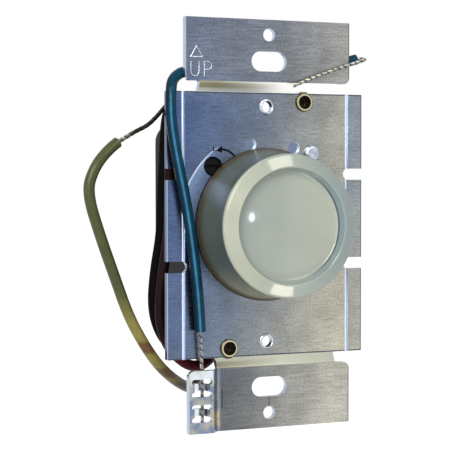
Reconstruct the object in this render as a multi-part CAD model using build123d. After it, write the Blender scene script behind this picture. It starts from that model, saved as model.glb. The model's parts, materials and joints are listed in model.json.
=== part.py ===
from build123d import *
import math
import os

# Rotary fan speed control for a single wall box, in millimetres.
# +X is right, +Y goes into the wall and +Z is up, seen from the room.
# The origin is where the knob's axis meets the front face of the yoke's plate.

# Yoke: one pressed aluminium sheet
SHEET = 1.5
YOKE_H = 104.6
PLATE_W = 54.9
PLATE_H = 67.6
PLATE_CORNER_R = 0.2
EAR_W = 46.0
EAR_STEP = 1.5  # the ears stand this far in front of the plate
EAR_CORNER_R = 0.2
EAR_INNER_R = 1.6
NECK_W = 38.0
NECK_H = 2.6
BEND_R = 0.5

# Score lines and notches that let the side fins snap off
SCORE_X = 23.0
SCORE_W = 0.8
SCORE_DEPTH = 0.5
FIN_NOTCH_H = 2.9
FIN_NOTCH_END_X = 22.0
FIN_NOTCH_Z = (12.9, -10.45)

# Fixing holes
SLOT_SPACING = 83.34
SLOT_L = 9.8
SLOT_W = 5.1
EAR_HOLE_SPACING = 96.85
EAR_HOLE_R = 1.65
PLATE_HOLE_SPACING = 60.33
PLATE_HOLE_R = 1.4
DIMPLE_R = 1.5
DIMPLE_DEPTH = 0.6
DIMPLES = ((-4.6, 20.4), (7.7, 19.6))

# Staking tab at the lower ear's left end, laced over the ground conductor
STAKE_ROOT_X = -14.4
STAKE_RISE_L = 1.8
STAKE_STRIP = 0.8  # the strips that are pressed back are coined to this
STAKE_SLOT_X = -19.3
STAKE_SLOT_L = 5.6
STAKE_SLOT_H = 1.4
STAKE_PITCH = 3.2
STAKE_CENTRE_Z = -44.05
STAKE_FLAT_L = 2.4
STAKE_FIT = 0.05
STRAND_X = -18.5
STRAND_INSET = 1.0  # the conductor's end from the tab's lower edge

# Leads
LEAD_D = 2.8
STRAND_D = 1.1
LEAD_HOLE_CLEARANCE = 0.2

# Knob
KNOB_BASE_R = 19.66
KNOB_RIM_R = 18.2
KNOB_CREST_R = 14.6
KNOB_FACE_R = 13.6
KNOB_WAIST_R = 17.6
KNOB_H = 15.4
KNOB_WAIST_H = 9.0
KNOB_GAP = 0.5
KNOB_WALL = 1.8
KNOB_RECESS = 2.5  # from the rim's crest back to the face
KNOB_RIM_DROP = 1.5  # from the crest back to where the rim is widest
KNOB_CREST_EDGE = 0.35
KNOB_RIM_EDGE = 0.9
KNOB_COVE = 1.2  # corner radius between the face and the recess's wall
KNOB_RIB = 1.1
KNOB_RIB_H = 2.0
KNOB_RIBS = 6
KNOB_HUB_WALL = 2.4

# Control shaft and its bushing
SHAFT_R = 3.0
SHAFT_FLAT = 0.8
RUNNING_FIT = 0.05
FIXED_FIT = 0.02
BUSHING_R = 4.7
BUSHING_OUT = 6.0
BUSHING_HOLE_FIT = 0.15
FLANGE_T = 1.2
RING_T = 0.6
RING_W = 1.8
RING_GROOVE = 0.5
RING_GAP_DEG = 70
RING_CLEARANCE = 0.1
WASHER_T = 0.5
WASHER_R = 7.4
NUT_AF = 12.7
NUT_T = 2.3

# Potentiometer and its on/off switch
POT_R = 12.0
POT_WALL = 0.6
POT_L = 9.5
TRACK_T = 1.0
ROTOR_R = 9.0
ROTOR_T = 2.2
WIPER_T = 0.3
WIPER_W = 2.4
WIPER_RISE = 1.2
CONTACT_GAP = 0.25
TERMINAL_W = 1.8
TERMINAL_L = 5.6
TERMINAL_T = 0.5
TERMINAL_PITCH = 4.5
DIVIDER_T = 1.2
SWITCH_L = 8.0
SWITCH_WALL = 1.2
SWITCH_ROTOR_T = 2.0
BRIDGE_T = 0.4
CONTACT_R = 1.5
CONTACT_T = 0.5
CONTACT_PIN_R = 0.8
CONTACT_PIN_L = 2.8
CONTACT_RADIUS = 7.0

# Rear housing and its eyelets
HOUSING_W = 42.0
HOUSING_H = 53.0
HOUSING_D = 26.0
HOUSING_WALL = 1.8
HOUSING_CORNER_R = 5.0
HOUSING_EDGE_R = 2.0
POST = 4.0
LUG_T = 3.0
LUG_R = 4.0
EYELET_X = 10.6
EYELET_Z = 31.5
EYELET_BORE_R = 1.75
EYELET_BORE_DEPTH = 3.0  # from the plate's front face
EYELET_WALL = 0.25
EYELET_FLANGE_R = 2.4
EYELET_FLANGE_T = 0.6
EYELET_FIT = 0.05
EYELET_RELIEF = 0.3

# Circuit board and what stands on it
BOARD_T = 1.6
BOARD_FRONT = 8.0
BOARD_FIT = 0.6
TRIAC_REACH = 22.357  # from the knob's axis to the triac's rivet
TRIAC_TOP_GAP = 1.3
TRIAC_RIVET_R = 1.2
TRIAC_HEAD_R = 2.2
TRIAC_HEAD_H = 1.3
TRIAC_W = 10.0
TRIAC_TAB_T = 1.3
TRIAC_BODY_T = 4.5
TRIAC_BODY_L = 9.2
TRIAC_TAB_L = 6.5
TRIAC_HOLE_INSET = 2.8
TRIAC_LEG = 0.8
TRIAC_LEG_OUT = 3.0
TRIAC_LEG_PITCH = 2.54
INSULATOR_T = 0.4
INSULATOR_MARGIN = 0.5
RIVET_TAIL_R = 1.9
RIVET_TAIL_T = 0.8
CHOKE_R = 6.4
CHOKE_BORE_R = 2.2
CHOKE_L = 8.0
CHOKE_COAT = 1.1
CHOKE_GAP_DEG = 40
CHOKE_CLEARANCE = 0.6
FILTER_CAP = (16.0, 6.5, 10.0)
FILTER_CAP_X = 4.0
TIMING_CAP = (7.2, 3.5, 7.0)
TIMING_CAP_SIDE_GAP = 8.7
CAP_EDGE_R = 0.6
CAP_CLEARANCE = 2.4
AXIAL_WIRE = 0.6
AXIAL_SIDE_GAP = 9.7
AXIAL_LIFT = 0.4
AXIAL_ROWS = {  # body radius, body length, height above the housing's lower wall
    "timing_resistor": (1.15, 6.3, 9.9),
    "snubber_resistor": (1.5, 8.0, 6.3),
    "diac": (0.95, 4.2, 3.3),
}

# Low-speed trimmer behind the plate's access hole
TRIM_SIDE_GAP = 6.07  # from the housing's left side to the trimmer's axis
TRIM_REACH = 21.107  # from the knob's axis to the trimmer's axis
TRIM_HOLE_R = 2.5
TRIM_BODY = 8.2
TRIM_BODY_H = 4.8
TRIM_ROTOR_R = 2.1
TRIM_ROTOR_SEAT = 3.2
TRIM_ROTOR_INSET = 0.6
TRIM_SLOT_W = 0.8
TRIM_SLOT_DEPTH = 0.8

# Lead routes, from the end at the device to the stripped end, and then their bare strands
GREEN_ROUTE = [
    (-19.2, -1.9, -26.6), (-19.67, -2.24, -20.0), (-20.85, -2.1, -8.5), (-22.75, -1.9, 5.0),
    (-25.5, -1.9, 17.5), (-27.05, -1.9, 27.0), (-27.3, -1.9, 34.2), (-25.4, 1.0, 36.9),
    (-20.5, 2.4, 38.3), (-12.0, 2.2, 37.6), (-1.0, 2.0, 37.2), (10.0, 2.0, 38.6),
    (19.7, 1.92, 41.4), (26.6, 1.5, 43.2),
]
GREEN_END = [
    (26.6, 1.5, 43.2), (27.75, 1.43, 43.5), (28.2, -0.9, 43.2), (26.8, -2.5, 42.7),
    (23.4, -3.1, 41.7), (18.5, -3.2, 40.1), (12.0, -3.1, 37.9), (5.7, -2.9, 35.3),
]
YELLOW_ROUTE = [
    (-8.5, 21.0, -23.9), (-8.8, 21.0, -31.5), (-10.4, 20.2, -38.6), (-14.4, 16.0, -43.0),
    (-20.0, 10.9, -42.3), (-26.6, 6.4, -37.6), (-32.0, 3.4, -30.6), (-37.0, 1.4, -21.9),
    (-41.0, 0.3, -12.6), (-45.0, -0.6, -2.4), (-48.6, -1.1, 8.6), (-46.6, -0.6, 14.4),
    (-42.6, 0.5, 19.0), (-39.9, 1.2, 20.8),
]
YELLOW_END = [(-39.9, 1.2, 20.8), (-35.35, 2.38, 23.84), (-30.6, 2.7, 27.0), (-26.3, 3.2, 30.6)]
BLACK_ROUTE = [
    (-13.0, 12.6, -23.9), (-13.2, 12.5, -29.3), (-16.4, 11.6, -33.0), (-21.2, 10.6, -32.6),
    (-25.4, 10.2, -28.6), (-27.7, 10.1, -21.5), (-27.0, 10.0, -12.0), (-25.2, 10.0, -2.5),
    (-24.95, 10.0, 7.0), (-24.4, 10.0, 17.5), (-23.8, 10.6, 25.2), (-21.5, 14.5, 29.6),
    (-16.8, 21.5, 30.6), (-12.2, 28.8, 29.6), (-9.2, 33.0, 23.4), (-8.0, 33.2, 15.6),
]
BLACK_END = [(-8.0, 33.2, 15.6), (-7.1, 33.35, 9.75), (-7.4, 32.8, 4.0), (-8.4, 32.0, -1.6)]
RED_ROUTE = [
    (-8.5, 13.0, -23.9), (-8.6, 12.6, -31.3), (-11.6, 10.6, -36.0), (-17.2, 8.2, -37.2),
    (-22.2, 7.2, -34.0), (-26.2, 7.0, -29.6), (-27.9, 7.0, -22.8), (-27.2, 7.0, -13.2),
    (-25.3, 7.0, -2.5), (-25.1, 7.0, 8.0), (-24.6, 7.0, 18.0), (-23.2, 7.2, 25.8),
    (-18.3, 8.6, 29.6), (-10.5, 12.5, 29.2), (-3.0, 18.5, 29.2), (1.8, 26.3, 30.6),
    (4.2, 32.4, 26.2), (5.2, 32.9, 18.6),
]
RED_END = [(5.2, 32.9, 18.6), (5.99, 33.3, 12.6), (5.6, 32.8, 6.8), (4.6, 32.0, 1.2)]

# Places and depths that several pieces share
ROOM_HALF_W = HOUSING_W / 2 - HOUSING_WALL
ROOM_HALF_H = HOUSING_H / 2 - HOUSING_WALL
TRIM_X = TRIM_SIDE_GAP - HOUSING_W / 2
TRIM_Z = (TRIM_REACH**2 - TRIM_X**2) ** 0.5
TRIAC_RIVET_Z = ROOM_HALF_H - TRIAC_TOP_GAP - TRIAC_W / 2
TRIAC_RIVET_X = (TRIAC_REACH**2 - TRIAC_RIVET_Z**2) ** 0.5
AXIAL_X = AXIAL_SIDE_GAP - ROOM_HALF_W
TIMING_CAP_X = TIMING_CAP_SIDE_GAP - ROOM_HALF_W
EAR_FRONT = -EAR_STEP
EAR_BACK = SHEET - EAR_STEP
EAR_INNER_Z = PLATE_H / 2 + NECK_H
PLATE_BACK = SHEET
FLANGE_BACK = PLATE_BACK + FLANGE_T
TRACK_BACK = FLANGE_BACK + TRACK_T
POT_BACK = FLANGE_BACK + POT_L
SWITCH_BACK = POT_BACK + SWITCH_L
ROTOR_FRONT = TRACK_BACK + CONTACT_GAP + WIPER_RISE + WIPER_T
SWITCH_ROTOR_FRONT = POT_BACK + DIVIDER_T
BRIDGE_FRONT = SWITCH_ROTOR_FRONT + SWITCH_ROTOR_T
CONTACT_FRONT = SWITCH_BACK - SWITCH_WALL - CONTACT_T
BOARD_BACK = BOARD_FRONT + BOARD_T
HOUSING_BACK = PLATE_BACK + HOUSING_D
STAKE_STRIP_L = STAKE_SLOT_L - STAKE_SLOT_H
STAKE_STEP = STAKE_STRIP + STRAND_D + 2 * STAKE_FIT + EAR_FRONT - EAR_BACK + SHEET
STAKE_FRONT = EAR_FRONT - STAKE_STEP
STAKE_BACK = STAKE_FRONT + SHEET
STRAND_Y = STAKE_BACK + STAKE_FIT + STRAND_D / 2
RING_BACK = -BUSHING_OUT - RING_CLEARANCE
HUB_FRONT = RING_BACK - RING_T - RING_CLEARANCE
KNOB_FRONT = -KNOB_GAP - KNOB_H
KNOB_CEILING = KNOB_FRONT + KNOB_RECESS + KNOB_WALL
SHAFT_FRONT = KNOB_CEILING + FIXED_FIT


def outline(rows):
    """Closed flat outline from rows of (u, v, corner radius)."""
    corners = [(u, v) for u, v, _ in rows]
    return make_face(FilletPolyline(*corners, radius=[r for _, _, r in rows], close=True))


def front_plane(y):
    """Plane of the front view at depth y, with X and Z as its own axes."""
    return Plane(origin=(0, y, 0), x_dir=(1, 0, 0), z_dir=(0, -1, 0))


def slab(face, y_front, y_back):
    """Solid between two depths, from an outline in the front view."""
    return extrude(front_plane(y_back) * face, amount=y_back - y_front)


def disc(radius, y_front, y_back, x=0, z=0):
    """Round solid along Y."""
    return slab(Pos(x, z) * Circle(radius), y_front, y_back)


def ring(inner, outer, y_front, y_back):
    """Round solid along Y with a bore, about the knob's axis."""
    return slab(Circle(outer) - Circle(inner), y_front, y_back)


def block(width, height, y_front, y_back, x=0, z=0):
    """Rectangular solid centred on (x, z) in the front view."""
    return slab(Pos(x, z) * Rectangle(width, height), y_front, y_back)


def turned(rows):
    """Solid turned about the Y axis, from rows of (radius, depth, corner radius)."""
    return revolve(outline(rows), Axis.Y)


# Yoke
def folded_sheet():
    """The sheet seen from the side: ear, step, plate, step, ear."""
    shift = SHEET * math.tan(math.atan2(EAR_STEP, NECK_H) / 2)
    outer_r = BEND_R + SHEET
    top = YOKE_H / 2
    upper = PLATE_H / 2
    front = [(EAR_FRONT, top, 0), (EAR_FRONT, EAR_INNER_Z, outer_r), (0, upper, BEND_R)]
    back = [
        (PLATE_BACK, upper + shift, outer_r),
        (EAR_BACK, EAR_INNER_Z + shift, BEND_R),
        (EAR_BACK, top, 0),
    ]
    rows = front + [(y, -z, r) for y, z, r in front[::-1]]
    rows += [(y, -z, r) for y, z, r in back[::-1]] + back
    return extrude(Plane.YZ * outline(rows), amount=PLATE_W / 2, both=True)


def sheet_outline():
    """The sheet seen from the front, without the staking tab."""
    ear, neck, plate = EAR_W / 2, NECK_W / 2, PLATE_W / 2
    top, upper = YOKE_H / 2, PLATE_H / 2
    right = [
        (ear, top, EAR_CORNER_R), (ear, EAR_INNER_Z, EAR_INNER_R), (neck, EAR_INNER_Z, BEND_R),
        (neck, upper, BEND_R), (plate, upper, PLATE_CORNER_R),
    ]
    left = [(-x, z, r) for x, z, r in right[::-1]]
    lower = [(plate, -upper, PLATE_CORNER_R)] + [(x, -z, r) for x, z, r in right[-2::-1]]
    stake = [(STAKE_ROOT_X, -top, 0), (STAKE_ROOT_X, -upper, BEND_R), (-plate, -upper, PLATE_CORNER_R)]
    return outline(right + lower + stake + left)


def fin_notch(side, z):
    """Slot with a round end that parts two fins."""
    r = FIN_NOTCH_H / 2
    end = FIN_NOTCH_END_X + r
    reach = PLATE_W / 2 - end + r
    bar = Pos(side * (end + reach / 2), z) * Rectangle(reach, FIN_NOTCH_H)
    return bar + Pos(side * end, z) * Circle(r)


def sheet_holes():
    """All the openings that are punched through the sheet."""
    holes = Pos(0, 0) * Circle(BUSHING_R + BUSHING_HOLE_FIT)
    for side in (1, -1):
        holes += Pos(0, side * SLOT_SPACING / 2) * SlotOverall(SLOT_L, SLOT_W)
        holes += Pos(0, side * EAR_HOLE_SPACING / 2) * Circle(EAR_HOLE_R)
        holes += Pos(0, side * PLATE_HOLE_SPACING / 2) * Circle(PLATE_HOLE_R)
        holes += Pos(side * EYELET_X, side * EYELET_Z) * Circle(
            EYELET_BORE_R + EYELET_WALL + EYELET_FIT
        )
        for z in FIN_NOTCH_Z:
            holes += fin_notch(side, z)
    holes += Pos(TRIM_X, TRIM_Z) * Circle(TRIM_HOLE_R)
    holes += Pos(TRIAC_RIVET_X, TRIAC_RIVET_Z) * Circle(TRIAC_RIVET_R + EYELET_FIT)
    return holes


def score_line(side):
    """V groove from the plate's top edge to its bottom edge."""
    x = side * SCORE_X
    half = SCORE_W / 2
    groove = make_face(Polyline((x - half, 0), (x + half, 0), (x, SCORE_DEPTH), close=True))
    return extrude(groove, amount=PLATE_H / 2, both=True)


def pressed_strip():
    """Strip of the staking tab that is pressed back behind the conductor, seen from below."""
    left = STAKE_SLOT_X - STAKE_STRIP_L / 2
    right = STAKE_SLOT_X + STAKE_STRIP_L / 2
    flat_right = right - STAKE_STRIP
    flat_left = flat_right - STAKE_FLAT_L
    overlap = STAKE_STRIP / 4
    corners = [
        (left - overlap, STAKE_FRONT), (left, STAKE_FRONT), (flat_left, EAR_BACK - STAKE_STRIP),
        (flat_right, EAR_BACK - STAKE_STRIP), (right, STAKE_FRONT), (right + overlap, STAKE_FRONT),
        (right + overlap, STAKE_BACK), (right, STAKE_BACK), (flat_right, EAR_BACK),
        (flat_left, EAR_BACK), (left, STAKE_BACK), (left - overlap, STAKE_BACK),
    ]
    return make_face(Polyline(*corners, close=True))


def staking_tab():
    """Forward-stepped end of the lower ear, with two pairs of slots and a pressed-back strip in each."""
    flat_x = STAKE_ROOT_X - STAKE_RISE_L
    shift = SHEET * math.tan(math.atan2(STAKE_STEP, STAKE_RISE_L) / 2)
    end = -EAR_W / 2
    profile = outline([
        (STAKE_ROOT_X, EAR_FRONT, 0), (flat_x, STAKE_FRONT, BEND_R), (end, STAKE_FRONT, 0),
        (end, STAKE_BACK, 0), (flat_x + shift, STAKE_BACK, BEND_R), (STAKE_ROOT_X, EAR_BACK, 0),
    ])
    height = YOKE_H / 2 - EAR_INNER_Z
    tab = Pos(0, 0, -YOKE_H / 2) * extrude(profile, amount=height)
    front = outline([
        (STAKE_ROOT_X, -YOKE_H / 2, 0), (end, -YOKE_H / 2, EAR_CORNER_R),
        (end, -EAR_INNER_Z, EAR_INNER_R), (STAKE_ROOT_X, -EAR_INNER_Z, 0),
    ])
    tab = tab & slab(front, STAKE_FRONT, EAR_BACK)
    strip_h = STAKE_PITCH - STAKE_SLOT_H
    for side in (1, -1):
        z = STAKE_CENTRE_Z + side * STAKE_PITCH
        opening = Pos(STAKE_SLOT_X, z) * Rectangle(STAKE_STRIP_L, STAKE_PITCH)
        for edge in (z + STAKE_PITCH / 2, z - STAKE_PITCH / 2):
            opening += Pos(STAKE_SLOT_X, edge) * SlotOverall(STAKE_SLOT_L, STAKE_SLOT_H)
        tab -= slab(opening, STAKE_FRONT, EAR_BACK)
        tab += Pos(0, 0, z - strip_h / 2) * extrude(pressed_strip(), amount=strip_h)
    return tab


def yoke():
    """Mounting yoke and heat sink."""
    sheet = folded_sheet() & slab(sheet_outline() - sheet_holes(), EAR_FRONT, PLATE_BACK)
    for side in (1, -1):
        sheet -= score_line(side)
    for x, z in DIMPLES:
        sheet -= disc(DIMPLE_R, 0, DIMPLE_DEPTH, x, z)
    return sheet + staking_tab()


# Rear housing and eyelets
def rear_housing():
    """Moulded box, open to the plate, with two lugs, four board posts and three lead holes."""
    outer = slab(RectangleRounded(HOUSING_W, HOUSING_H, HOUSING_CORNER_R), PLATE_BACK, HOUSING_BACK)
    outer = fillet(outer.edges().group_by(Axis.Y)[-1], HOUSING_EDGE_R)
    width = 2 * ROOM_HALF_W
    height = 2 * ROOM_HALF_H
    room = RectangleRounded(width, height, HOUSING_CORNER_R - HOUSING_WALL)
    floor = HOUSING_BACK - HOUSING_WALL
    box = outer - slab(room, PLATE_BACK, floor)
    for x in (1, -1):
        for z in (1, -1):
            corner = Pos(x * (width - POST) / 2, z * (height - POST) / 2) * Rectangle(POST, POST)
            box += slab(corner & room, BOARD_BACK, floor)
    for side in (1, -1):
        length = EYELET_Z - ROOM_HALF_H
        lug = Pos(EYELET_X, ROOM_HALF_H + length / 2) * Rectangle(2 * LUG_R, length)
        lug += Pos(EYELET_X, EYELET_Z) * Circle(LUG_R)
        lug -= Pos(EYELET_X, EYELET_Z) * Circle(EYELET_BORE_R + EYELET_WALL + EYELET_FIT)
        turn = Rot(0, 0, 0) if side == 1 else Rot(0, 180, 0)
        lug_back = PLATE_BACK + LUG_T
        box -= turn * disc(EYELET_FLANGE_R + EYELET_RELIEF, lug_back, HOUSING_BACK, EYELET_X, EYELET_Z)
        box += turn * slab(lug, PLATE_BACK, lug_back)
    for route in (YELLOW_ROUTE, BLACK_ROUTE, RED_ROUTE):
        x, y, _ = route[0]
        hole = Cylinder(LEAD_D / 2 + LEAD_HOLE_CLEARANCE, 4 * HOUSING_WALL)
        box -= Pos(x, y, -HOUSING_H / 2) * hole
    return box


def eyelet(side):
    """Semi-tubular rivet through the plate and a housing lug: head behind, rolled ring in front."""
    grip = SHEET + LUG_T
    shank = EYELET_BORE_R + EYELET_WALL
    curl = EYELET_FLANGE_T / 2
    rows = [
        (EYELET_BORE_R, -EYELET_FLANGE_T, 0), (EYELET_FLANGE_R, -EYELET_FLANGE_T, curl),
        (EYELET_FLANGE_R, 0, 0), (shank, 0, 0), (shank, grip, 0), (EYELET_FLANGE_R, grip, 0),
        (EYELET_FLANGE_R, grip + EYELET_FLANGE_T, curl), (0, grip + EYELET_FLANGE_T, 0),
        (0, EYELET_BORE_DEPTH, 0), (EYELET_BORE_R, EYELET_BORE_DEPTH, 0),
    ]
    return Pos(side * EYELET_X, 0, side * EYELET_Z) * turned(rows)


# Knob, shaft and bushing
def knob():
    """Moulded shell: concave skirt, bevelled rim and recessed face, with a hub and ribs inside."""
    face_y = KNOB_FRONT + KNOB_RECESS
    rim_y = KNOB_FRONT + KNOB_RIM_DROP
    base_y = -KNOB_GAP
    lip_r = KNOB_BASE_R - KNOB_WALL
    ceiling_r = KNOB_WAIST_R - KNOB_WALL
    cove = (KNOB_FACE_R, face_y)
    crest = (KNOB_CREST_R, KNOB_FRONT)
    widest = (KNOB_RIM_R, rim_y)
    profile = Polyline((0, KNOB_CEILING), (0, face_y), cove, crest, widest)
    profile += ThreePointArc(
        widest, (KNOB_WAIST_R, base_y - KNOB_WAIST_H), (KNOB_BASE_R, base_y)
    )
    profile += Polyline(
        (KNOB_BASE_R, base_y), (lip_r, base_y), (ceiling_r, KNOB_CEILING), (0, KNOB_CEILING)
    )
    section = make_face(profile)
    for corner, radius in ((cove, KNOB_COVE), (crest, KNOB_CREST_EDGE), (widest, KNOB_RIM_EDGE)):
        section = fillet(section.vertices().sort_by_distance((*corner, 0))[0], radius)
    shell = revolve(section, Axis.Y)
    hub_r = SHAFT_R + KNOB_HUB_WALL
    shell += disc(hub_r, KNOB_CEILING, HUB_FRONT)
    rib_l = (ceiling_r + hub_r) / 2 - SHAFT_R
    for n in range(KNOB_RIBS):
        rib = block(rib_l, KNOB_RIB, KNOB_CEILING, KNOB_CEILING + KNOB_RIB_H, SHAFT_R + rib_l / 2 + 1)
        shell += Rot(0, n * 360 / KNOB_RIBS, 0) * rib
    return shell - shaft_end(FIXED_FIT, KNOB_CEILING, HUB_FRONT)


def shaft_end(growth, y_front, y_back):
    """The shaft's D section between two depths, grown by a fit."""
    radius = SHAFT_R + growth
    height = 2 * radius - SHAFT_FLAT
    flat = Pos(0, -SHAFT_FLAT / 2) * Rectangle(2 * radius, height)
    return slab(Circle(radius) & flat, y_front, y_back)


def control_shaft():
    """Shaft with a flat for the knob and a groove for the retaining ring."""
    flat_back = HUB_FRONT
    tail = BRIDGE_FRONT - FIXED_FIT
    groove_front = RING_BACK - RING_T - FIXED_FIT
    groove_back = RING_BACK + FIXED_FIT
    shaft = shaft_end(0, SHAFT_FRONT, flat_back) + disc(SHAFT_R, flat_back, tail)
    return shaft - ring(SHAFT_R - RING_GROOVE, 2 * SHAFT_R, groove_front, groove_back)


def retaining_ring():
    """Open ring that stops the shaft from being pushed back."""
    inner = SHAFT_R - RING_GROOVE + FIXED_FIT
    outer = inner + RING_W
    body = ring(inner, outer, RING_BACK - RING_T, RING_BACK)
    reach = outer * 2
    half = math.radians(RING_GAP_DEG / 2)
    wedge = make_face(Polyline(
        (0, 0), (reach * math.sin(half), -reach * math.cos(half)),
        (-reach * math.sin(half), -reach * math.cos(half)), close=True,
    ))
    return body - slab(wedge, RING_BACK - RING_T, RING_BACK)


def pot_bushing():
    """Threaded bushing with the flange that closes the potentiometer."""
    bore = SHAFT_R + RUNNING_FIT
    rows = [
        (bore, -BUSHING_OUT, 0), (BUSHING_R, -BUSHING_OUT, EYELET_WALL), (BUSHING_R, PLATE_BACK, 0),
        (POT_R, PLATE_BACK, 0), (POT_R, FLANGE_BACK, 0), (bore, FLANGE_BACK, 0),
    ]
    return turned(rows)


def lock_washer():
    """Washer under the nut."""
    return ring(BUSHING_R + FIXED_FIT, WASHER_R, -WASHER_T, 0)


def bushing_nut():
    """Hexagon nut with a chamfered front."""
    corner_r = NUT_AF / 2 / math.cos(math.pi / 6)
    back = -WASHER_T
    front = back - NUT_T
    prism = slab(RegularPolygon(NUT_AF / 2, 6, major_radius=False), front, back)
    chamfer = corner_r - NUT_AF / 2
    cone = turned([
        (0, front, 0), (NUT_AF / 2, front, 0), (corner_r, front + chamfer, 0), (corner_r, back, 0),
        (0, back, 0),
    ])
    return (prism & cone) - disc(BUSHING_R + FIXED_FIT, front, back)


# Potentiometer and switch
def pot_can():
    """Can round the potentiometer, cut away below for its terminals."""
    can = ring(POT_R - POT_WALL, POT_R, FLANGE_BACK, POT_BACK)
    width = 2 * TERMINAL_PITCH + 2 * TERMINAL_W
    depth = TRACK_T + 3 * TERMINAL_T
    return can - block(width, POT_R, FLANGE_BACK, FLANGE_BACK + depth, 0, -POT_R)


def pot_track():
    """Wafer with the resistance track."""
    return ring(BUSHING_R, POT_R - POT_WALL - FIXED_FIT, FLANGE_BACK, TRACK_BACK)


def pot_terminals():
    """Three solder lugs riveted to the wafer's lower edge."""
    root = ROTOR_R + 2 * WIPER_T
    lugs = Part()
    for n in (-1, 0, 1):
        z = -root - TERMINAL_L / 2
        lugs += block(TERMINAL_W, TERMINAL_L, TRACK_BACK, TRACK_BACK + TERMINAL_T, n * TERMINAL_PITCH, z)
    return lugs


def pot_rotor():
    """Insulating disc on the shaft that carries the wiper."""
    return ring(SHAFT_R + FIXED_FIT, ROTOR_R, ROTOR_FRONT, ROTOR_FRONT + ROTOR_T)


def pot_wiper():
    """Sprung contact with two arms that reach forward to the track."""
    inner = SHAFT_R + 2 * WIPER_T
    foot = ROTOR_R / 2 + 2 * WIPER_T
    tip = TRACK_BACK + CONTACT_GAP
    base = ROTOR_FRONT - WIPER_T
    wiper = ring(inner, foot, base, ROTOR_FRONT)
    end = ROTOR_R - WIPER_T
    arm = make_face(Polyline(
        (inner + 1, base), (end - 1, tip), (end, tip), (end, tip + WIPER_T), (foot, ROTOR_FRONT),
        (inner + 1, ROTOR_FRONT), close=True,
    ))
    arm = extrude(arm, amount=WIPER_W / 2, both=True)
    return wiper + arm + Rot(0, 180, 0) * arm


def switch_divider():
    """Insulating disc between the potentiometer and the switch."""
    hole = SHAFT_R + 2 * RUNNING_FIT
    return ring(hole, POT_R - POT_WALL - FIXED_FIT, POT_BACK - DIVIDER_T, POT_BACK)


def switch_case():
    """Moulded cup behind the potentiometer."""
    cup = disc(POT_R, POT_BACK, SWITCH_BACK)
    cup -= disc(POT_R - SWITCH_WALL, POT_BACK, SWITCH_BACK - SWITCH_WALL)
    for side in (1, -1):
        z = side * CONTACT_RADIUS
        cup -= disc(CONTACT_PIN_R + FIXED_FIT, SWITCH_BACK - SWITCH_WALL, SWITCH_BACK, 0, z)
    return cup


def switch_contacts():
    """Two fixed contacts with their pins through the cup's floor."""
    contacts = Part()
    floor = SWITCH_BACK - SWITCH_WALL
    for side in (1, -1):
        z = side * CONTACT_RADIUS
        contacts += disc(CONTACT_R, CONTACT_FRONT, floor, 0, z)
        contacts += disc(CONTACT_PIN_R, floor, SWITCH_BACK + CONTACT_PIN_L, 0, z)
    return contacts


def switch_rotor():
    """Moulded disc on the shaft's tail that carries the bridge."""
    body = disc(ROTOR_R, SWITCH_ROTOR_FRONT, BRIDGE_FRONT)
    return body - disc(SHAFT_R + FIXED_FIT, SWITCH_ROTOR_FRONT, BRIDGE_FRONT)


def switch_bridge():
    """Contact strip that joins the two fixed contacts when the knob leaves off."""
    tip = CONTACT_FRONT - CONTACT_GAP
    back = BRIDGE_FRONT + BRIDGE_T
    end = CONTACT_RADIUS + CONTACT_R / 2
    half = make_face(Polyline(
        (0, BRIDGE_FRONT), (CONTACT_RADIUS - CONTACT_R, BRIDGE_FRONT), (end, tip - BRIDGE_T),
        (end, tip), (CONTACT_RADIUS - BRIDGE_T, tip), (CONTACT_RADIUS - CONTACT_R - BRIDGE_T, back),
        (0, back), close=True,
    ))
    half = extrude(half, amount=CONTACT_R, both=True)
    return half + Rot(0, 180, 0) * half


# Circuit board and parts
def circuit_board():
    """Board on the housing's posts, with a round opening for the potentiometer."""
    width = 2 * (ROOM_HALF_W - BOARD_FIT)
    height = 2 * (ROOM_HALF_H - BOARD_FIT)
    face = RectangleRounded(width, height, HOUSING_CORNER_R - HOUSING_WALL) - Circle(POT_R + BOARD_FIT)
    return slab(face, BOARD_FRONT, BOARD_BACK)


def triac_span():
    """Left end of the triac's body, where its body meets the tab, and the tab's right end."""
    right = TRIAC_RIVET_X + TRIAC_HOLE_INSET
    step = right - TRIAC_TAB_L
    return step - TRIAC_BODY_L, step, right


def triac():
    """Triac with its tab against the plate and three legs bent back to the board."""
    left, step, right = triac_span()
    front = PLATE_BACK + INSULATOR_T
    z = TRIAC_RIVET_Z
    tab = block(right - left, TRIAC_W, front, front + TRIAC_TAB_T, (left + right) / 2, z)
    tab -= disc(TRIAC_RIVET_R + EYELET_FIT, front, front + TRIAC_TAB_T, TRIAC_RIVET_X, z)
    body = tab + block(TRIAC_BODY_L, TRIAC_W, front, front + TRIAC_BODY_T, (left + step) / 2, z)
    leg_front = front + TRIAC_BODY_T / 2
    for n in (-1, 0, 1):
        leg_z = z + n * TRIAC_LEG_PITCH
        x = left - TRIAC_LEG_OUT / 2
        body += block(TRIAC_LEG_OUT, TRIAC_LEG, leg_front, leg_front + TRIAC_LEG, x, leg_z)
        x = left - TRIAC_LEG_OUT + TRIAC_LEG / 2
        body += block(TRIAC_LEG, TRIAC_LEG, leg_front, BOARD_FRONT, x, leg_z)
    return body


def triac_insulator():
    """Thin sheet between the triac's tab and the plate."""
    left, _, right = triac_span()
    width = right - left + 2 * INSULATOR_MARGIN
    height = TRIAC_W + 2 * INSULATOR_MARGIN
    back = PLATE_BACK + INSULATOR_T
    sheet = block(width, height, PLATE_BACK, back, (left + right) / 2, TRIAC_RIVET_Z)
    return sheet - disc(TRIAC_RIVET_R + EYELET_FIT, PLATE_BACK, back, TRIAC_RIVET_X, TRIAC_RIVET_Z)


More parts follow.
